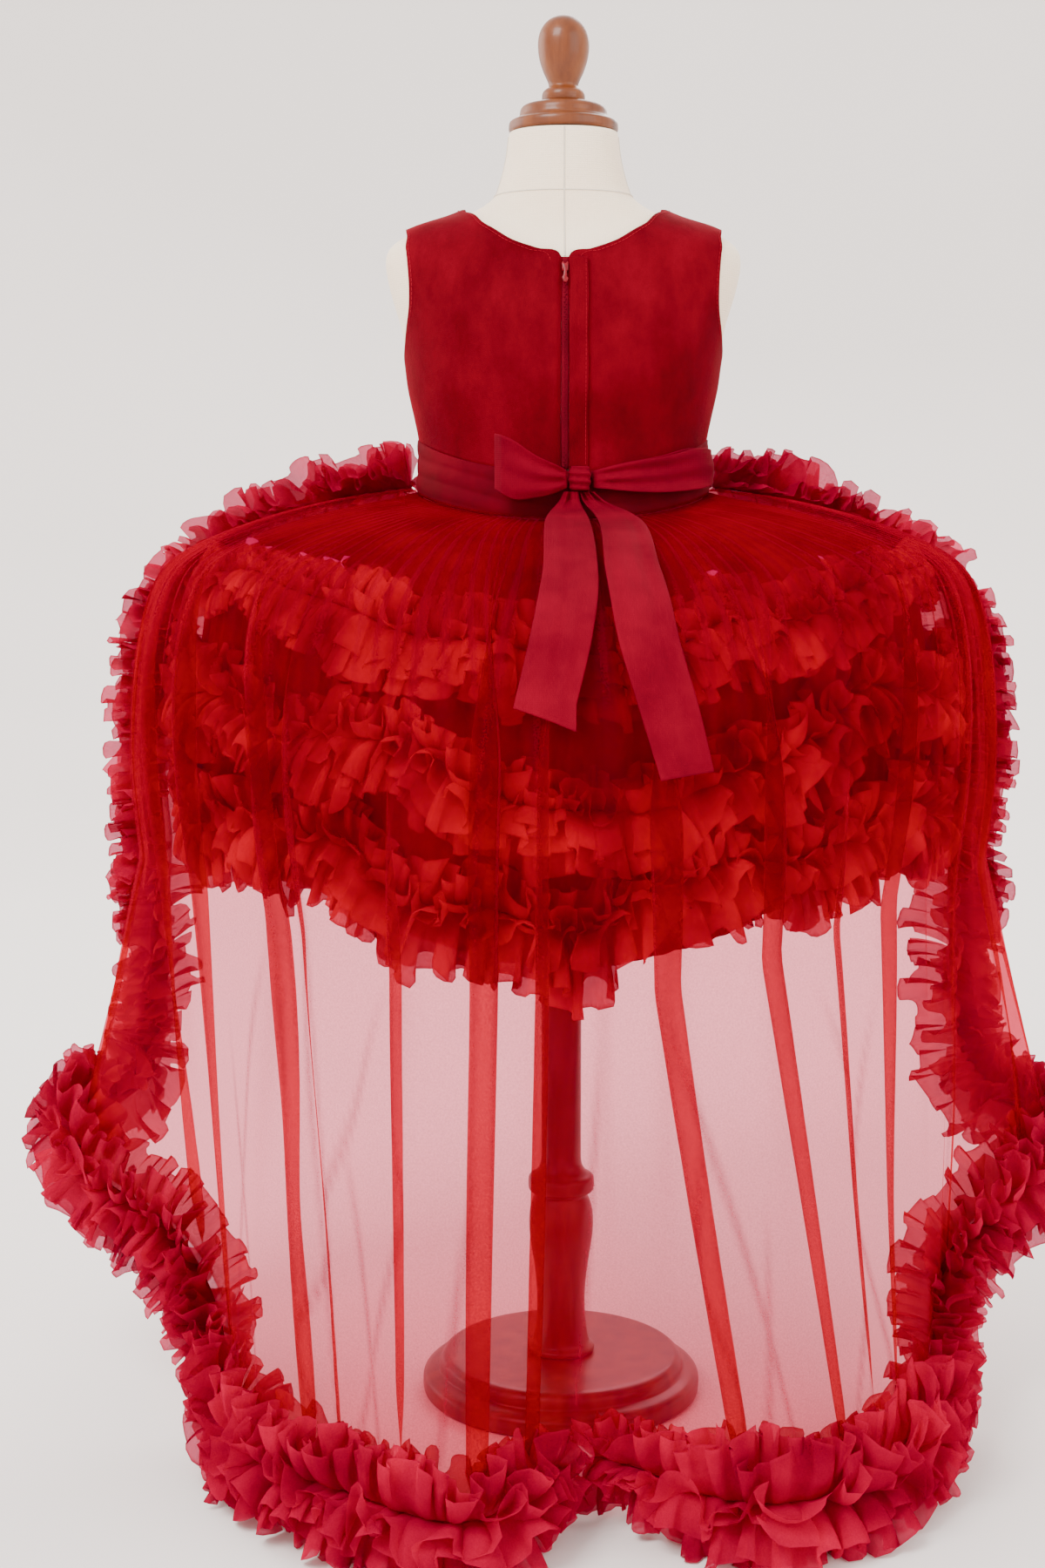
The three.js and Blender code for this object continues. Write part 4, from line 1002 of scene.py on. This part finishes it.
def ruche_layer(path, style, layer, seed):
    """One layer of net of a double-edged ruche. Both flaps rise from the gathered line in a strip of
    flutes, whose waves lean over their neighbours towards the edges."""
    start, end, closed = path["start"], path["end"], path["closed"]
    free_angle, other_angle, size, depth, wider = layer
    waves = round((end - start) / (style["pitch"] * wider))
    pitch = (end - start) / waves
    columns = waves * SECTIONS + (0 if closed else 1)
    at = np.linspace(start, end, columns, endpoint=not closed)

    reach = np.concatenate([-REACHES[::-1], REACHES[1:]])
    away = np.abs(reach)
    is_free = reach > 0

    def noise(step, number):
        """Noise with knots so many millimetres apart. The number gives each use its own draw."""
        return strip_noise(at - start, step, seed + number, end - start, closed)

    def flap_noise(step, number):
        return np.where(is_free, noise(step, number), noise(step, number + 1))

    phase = 2.4 * noise(31, 1) + 0.9 * noise(13, 2) + 1.3 * flap_noise(24, 3) * away
    angle = 2 * np.pi * (at[:, None] - start) / pitch + phase
    strength = depth * (1 + 0.55 * noise(12, 5) + 0.2 * noise(60, 6))
    wave = strength * np.cos(angle) * away**0.85
    shift = pitch * (0.17 * np.sin(2 * angle) + 0.16 * np.cos(angle + 2.2 * noise(30, 7))) * away
    small = path["small"](at)[:, None]
    moved = at[:, None] + shift * small
    points, normal, edgeward = (
        picked(path[name], path["at"], moved, path["period"]) for name in ("points", "normals", "edgewards")
    )
    length = np.where(is_free, style["free"], style["other"]) * size
    length = length * (1 + 0.17 * noise(10, 8) + 0.07 * noise(50, 10) + 0.09 * np.cos(angle))
    open_angle = np.where(is_free, free_angle, other_angle) + style["bulge"] * noise(52, 9) * small
    open_angle = open_angle + CURL["own"] * flap_noise(13, 11) * away + path["lean"](at)[:, None]
    curve = open_angle + CURL["root"] * (1 - away) - CURL["edge"] * away
    curve = np.radians(np.where(open_angle < 0, open_angle * away, curve))
    span = length * away * small
    wave = wave * small
    aside = np.sign(reach) * (span * np.cos(curve) - wave * np.sin(curve))
    height = path["seat"] + span * np.sin(curve) + wave * np.cos(curve)
    height = np.where(height > 0, path["highest"] * np.tanh(height / path["highest"]), height)
    height = np.where(free_angle < 0, height, np.maximum(height, lerp(*OVER_CLOTH, away * small)))
    points += edgeward * (aside + path["sway"](at) * small)[..., None]
    points += normal * height[..., None]
    points[..., 2] = np.maximum(points[..., 2], lerp(*OVER_FLOOR, away))
    edge = np.clip((away - LAST_BAND) / (1 - LAST_BAND), 0, 1) + 0 * at[:, None]
    return points, edge


def ruche(name, path, style, layers, seed, look):
    parts, edges = [], []
    for number, layer in enumerate(layers):
        points, edge = ruche_layer(path, style, layer, seed + 100 * number)
        parts.append(sheet_parts(points, path["closed"]))
        edges.append(edge.ravel())
    piece = joined(f"{name}_net", parts, edges)
    return dress_piece(piece, look, [name])


def with_edgewards(path):
    """Squares up a path's normals with its direction, and adds the direction across it."""
    ahead = unit(np.gradient(path["points"], axis=0))
    normals = path["normals"] - ahead * np.sum(path["normals"] * ahead, axis=-1, keepdims=True)
    path["normals"] = unit(normals)
    path["edgewards"] = np.cross(ahead, path["normals"])
    return path


def tier_path(tier):
    """The gathered line of a tier round the dome."""
    z = tier["z"]
    turn = np.linspace(0, 2 * np.pi, 721)
    points = on_dome(turn, z, CLOTH)
    ahead = on_dome(turn + 0.01, z, CLOTH) - on_dome(turn - 0.01, z, CLOTH)
    up = on_dome(turn, z + 4.0, CLOTH) - on_dome(turn, z - 4.0, CLOTH)
    at = walked(points)
    length = at[-1]
    path = with_edgewards({"points": points, "normals": np.cross(ahead, up), "at": at, "period": length})
    path["edgewards"] = -path["edgewards"] * np.sign(path["edgewards"][:1, 2:])
    path |= {"start": 0.0, "end": length, "closed": True, "seat": tier["seat"], "highest": tier["highest"]}

    def small(places):
        return 1 - tier["at_side"] * smooth(np.abs(np.sin(places / length * 2 * np.pi)), 0.6, 0.9)

    def sway(places):
        return tier["sway"] * strip_noise(places, 48, tier["seed"] + 9, length, True)

    return path | {"small": small, "sway": sway, "lean": np.zeros_like}


def add_tiers():
    for name, tier in TIERS.items():
        piece = ruche(name, tier_path(tier), TIER, TIER_LAYERS, tier["seed"], "tier")


# Train: each fold lies from a share at the waist to a share at the hem. The sheet doubles back on
# itself by the overlap, from depth start to depth end.
TRAIN_FOLDS = [
    # At the waist, at the hem, width, overlap, depth start, depth end
    (0.1, 0.12, 0.016, 2.2, 0.1, 2.1), (0.165, 0.19, 0.014, 2.1, 0.25, 2.1),
    (0.225, 0.245, 0.018, 2.3, 0.1, 2.1), (0.288, 0.345, 0.021, 2.5, 0.15, 2.15),
    (0.326, 0.366, 0.013, 2.2, 0.25, 2.15), (0.392, 0.405, 0.011, 2.0, 0.45, 2.05),
    (0.452, 0.448, 0.022, 2.5, 0.05, 2.2), (0.496, 0.48, 0.017, 2.4, 0.05, 2.2),
    (0.545, 0.566, 0.019, 2.5, 0.2, 2.15), (0.609, 0.628, 0.018, 2.3, 0.2, 2.15),
    (0.668, 0.66, 0.012, 2.0, 0.5, 2.05), (0.735, 0.69, 0.019, 2.4, 0.1, 2.1),
    (0.8, 0.79, 0.014, 2.1, 0.15, 2.1), (0.87, 0.85, 0.016, 2.1, 0.1, 2.1),
]
# Fine creases of the net: at depth 0.9, at the hem, and the depth where each starts
TRAIN_CREASES = [
    (0.3, 0.262, 1.0), (0.395, 0.33, 1.0), (0.422, 0.372, 1.15), (0.35, 0.392, 1.3), (0.52, 0.502, 1.05),
    (0.566, 0.598, 1.0), (0.59, 0.553, 1.2), (0.64, 0.69, 1.05), (0.702, 0.64, 1.1), (0.612, 0.58, 1.4),
    (0.25, 0.3, 1.2), (0.436, 0.424, 1.3),
]
CREASE_END = 1.98
CREASE_WIDTH = 0.0014
# Gathers at the waist and broad pleats over the whole train
FINE_GATHERS = 96
BROAD_PLEATS = 27
# A fold's width at the waist and how much of it goes by the hem, the heights of its roll and its rise
# in millimetres, and where the lines along its two sides lie
FOLD = {"width": 1.3, "narrowing": 0.38, "roll": 3.4, "rise": 1.8, "line_at": 0.62, "line_width": 0.1}
# Heights in millimetres of the fine gathers, the broad pleats and the hanging part's slow swings
SWELL = {"fine": 1.5, "broad": 2.6, "swing": 6.0, "small_swing": 3.0}
# How much thicker the net looks at creases, gathers, pleats and along the folds
THICK = {"creases": 0.7, "gathers": 0.85, "pleats": 0.3, "folds": 0.55}
# Millimetres for a share across and for a depth down, and the width of the thick edge
EDGE_SCALE = {"share": 527, "depth": 320, "width": 5.0}
TRAIN_COLUMNS = 620
TRAIN_ROWS = 92


def train_noise(step, seed):
    return noise_line(TRAIN_COLUMNS, step, seed)


def add_train():
    share = steps(TRAIN_COLUMNS)
    depth = np.concatenate([np.linspace(0, 0.25, 26), np.linspace(0.27, 2, TRAIN_ROWS - 26)])
    from_edge = 1 - np.abs(1 - 2 * share)
    calm = smooth(from_edge, 0.0, 0.06) * smooth(2 - depth, 0, 0.08)
    shift, out, fold_lines = np.zeros((3, TRAIN_COLUMNS, TRAIN_ROWS))
    for top, bottom, width, overlap, start, end in TRAIN_FOLDS:
        middle = lerp(top, bottom, depth / 2)
        across = (share - middle) / (width * (FOLD["width"] - FOLD["narrowing"] * depth))
        near = np.exp(-(across**2))
        strength = smooth(depth, start - 0.1, start + 0.5) * smooth(end - depth, 0, 0.3)
        shift -= overlap * (share - middle) * near * strength
        out += (FOLD["roll"] * across + FOLD["rise"]) * near * strength
        line = np.exp(-(((np.abs(across) - FOLD["line_at"]) / FOLD["line_width"]) ** 2))
        fold_lines = np.maximum(fold_lines, strength * line)
    drift = 0.8 * train_noise(30, 91)
    fine = np.cos(2 * np.pi * FINE_GATHERS * share + 3 * drift) * (1 + 0.5 * train_noise(9, 92))
    broad = np.cos(2 * np.pi * BROAD_PLEATS * share + 5 * drift + 0.8 * depth)
    out += SWELL["fine"] * fine * smooth(depth, 0.0, 0.06) * (1 - smooth(depth, 0.25, 1.0))
    out += SWELL["broad"] * broad * smooth(depth, 0.12, 0.6) * (1 - 0.55 * smooth(depth, 1.0, 1.8))
    swing = SWELL["swing"] * train_noise(46, 93) + SWELL["small_swing"] * train_noise(22, 94)
    out += swing * smooth(depth, 1.0, 1.6)
    grid = on_train(np.clip(share + shift * calm, 0, 1), depth)
    out *= np.maximum(calm, 0.15 * smooth(2 - depth, 0, 0.1))
    grid += unit(grid * [1, 1, 0]) * out[..., None]
    inwards = np.minimum(from_edge * EDGE_SCALE["share"], (2 - depth) * EDGE_SCALE["depth"])
    edge = np.clip(1 - inwards / EDGE_SCALE["width"], 0, 1)
    for high, low, start in TRAIN_CREASES:
        middle = lerp(high, low, (depth - 0.9) / 1.1)
        line = np.exp(-(((share - middle) / CREASE_WIDTH) ** 2)) * smooth(depth, start, start + 0.25)
        edge = np.maximum(edge, THICK["creases"] * line * smooth(CREASE_END - depth, 0, 0.1))
    gathers = (0.5 + 0.5 * fine) * smooth(depth, 0.0, 0.02) * (1 - smooth(depth, 0.15, 0.8))
    pleats = np.clip(0.5 + 0.5 * broad, 0, 1) ** 4 * smooth(depth, 0.05, 0.3) * (1 - smooth(depth, 1.0, 1.7))
    edge = edge + THICK["gathers"] * np.clip(gathers, 0, 1) ** 2 + THICK["pleats"] * pleats
    edge = np.clip(edge + THICK["folds"] * fold_lines, 0, 1)
    piece = link_mesh("train_net", *sheet_parts(grid, False), edge.ravel())
    dress_piece(piece, "train", ["train"])


# Trim along the train's edge

TRIM_SPLIT_Z = 300
TRIM_HIGHEST = 60.0
TRIM_SWAY = 6.5
# Height of the gathered line over the train, in millimetres, along its front and along its hem
TRIM_SEATS = {"front": 2.7, "hem": 3.2}
# Steps down the train's side and along its hem, even steps of the trim, and the steps that are averaged
EDGE_STEPS = (500, 700)
TRIM_STEPS = 1200
SOFTENED = 20


def softened(values):
    kernel = np.hanning(2 * SOFTENED + 1)
    kernel /= kernel.sum()
    padded = np.pad(values, ((SOFTENED, SOFTENED), (0, 0)), mode="edge")
    return np.stack([np.convolve(padded[:, k], kernel, mode="valid") for k in range(3)], axis=-1)


def trim_path(side):
    """The train's free edge on one side as even steps, with its outward normal and its edge direction."""
    down, inwards = EDGE_STEPS
    depth = np.concatenate([np.linspace(0.005, 2, down), np.full(inwards - 1, 2.0)])
    from_edge = np.concatenate([np.zeros(down), np.linspace(0, 1, inwards)[1:]])
    share = from_edge / 2 if side < 0 else 1 - from_edge / 2
    points = on_train(share, depth)
    step = 0.004
    across = on_train(np.clip(share + step, 0, 1), depth) - on_train(np.clip(share - step, 0, 1), depth)
    up = on_train(share, np.clip(depth - step, 0, 2)) - on_train(share, np.clip(depth + step, 0, 2))
    normals = unit(np.cross(across, up))
    lengths = walked(points)
    whole = lengths[-1]
    even = np.linspace(0, whole, TRIM_STEPS)
    points = softened(picked(points, lengths, even))
    normals = softened(picked(normals, lengths, even))
    normals[:, 2] *= 1 - smooth(150 - points[:, 2], 0, 90)
    path = {"at": even, "points": points, "normals": normals, "period": None, "closed": False}

    def small(places):
        share = places / whole
        narrow = smooth(share, 0.13, 0.19) - smooth(share, 0.05, 0.09)
        ends = lerp(0.7, 0.86, smooth(places, 0, 30)) * lerp(1, 0.7, smooth(share, 0.9, 0.965))
        return ends * (1 + 0.2 * narrow) * lerp(1, 1.16, smooth(share, 0.12, 0.2))

    def lean(places):
        share = places / whole
        inwards = smooth(share, 0.03, 0.07) - smooth(share, 0.12, 0.18)
        outwards = smooth(share, 0.14, 0.2) - smooth(share, 0.34, 0.4)
        return 20 * outwards - 26 * inwards

    def sway(places):
        return TRIM_SWAY * strip_noise(places, 60, 300 + side, whole, False)

    return with_edgewards(path) | {"small": small, "lean": lean, "sway": sway, "highest": TRIM_HIGHEST}


def add_trims():
    for side, word in ((-1, "left"), (1, "right")):
        path = trim_path(side)
        split = path["at"][np.argmax(path["points"][:, 2] < TRIM_SPLIT_Z)]
        runs = {"front": (1.0, split - 0.4), "hem": (split + 0.4, path["at"][-1] * 0.982)}
        for run, (start, end) in runs.items():
            seat = TRIM_SEATS[run]
            path |= {"start": start, "end": end, "seat": seat}
            seed = 400 + 40 * side + int(seat * 10)
            piece = ruche(f"trim_{word}_{run}", path, TRIM, TRIM_LAYERS, seed, "ruffle")


# Surroundings


# Height and radius of the round backdrop, a floor that bends up into a wall
BACKDROP = np.array(
    [
        (0, 1), (0, 1500), (0, 2600), (60, 3100), (260, 3500), (600, 3800), (1100, 3950), (1700, 4000),
        (3400, 4000),
    ],
    float,
)
BACKDROP_SEGMENTS = 96


def add_backdrop():
    vertices, faces = sheet_parts(revolved(BACKDROP, BACKDROP_SEGMENTS))
    bowl = link_mesh("backdrop", vertices, faces[:, ::-1])
    bowl.data.materials.append(LOOKS["backdrop"])


# Lamps: place, size and strength, each aimed at the middle of the dress
LAMPS = [
    ("key", (-1.5, -2.1, 2.9), 1.6, 150.0),
    ("fill", (2.3, -1.9, 1.6), 2.4, 45.0),
    ("back", (0.6, 2.6, 2.6), 2.2, 90.0),
    ("side", (-2.6, 1.2, 1.4), 2.0, 40.0),
]
AIM = (0.0, 0.0, 0.45)
LIGHT_COLOUR = (1.0, 0.985, 0.97)
WORLD_STRENGTH = 1.75


def add_lights():
    world = bpy.data.worlds.new("studio")
    bpy.context.scene.world = world
    world.use_nodes = True
    background = world.node_tree.nodes["Background"]
    background.inputs["Color"].default_value = (*LIGHT_COLOUR, 1.0)
    background.inputs["Strength"].default_value = WORLD_STRENGTH
    for name, place, size, strength in LAMPS:
        data = bpy.data.lights.new(name, "AREA")
        data.size = size
        data.energy = strength
        data.color = LIGHT_COLOUR
        lamp = bpy.data.objects.new(name, data)
        lamp.location = place
        x, y, z = np.array(AIM) - np.array(place)
        lamp.rotation_euler = (math.atan2(math.hypot(x, y), -z), 0, math.atan2(y, x) - math.pi / 2)
        bpy.context.scene.collection.objects.link(lamp)


add_stand()
add_form()
add_bodice()
add_zip()
add_sash()
add_bow()
add_underskirt()
add_tiers()
add_train()
add_trims()
add_backdrop()
add_lights()
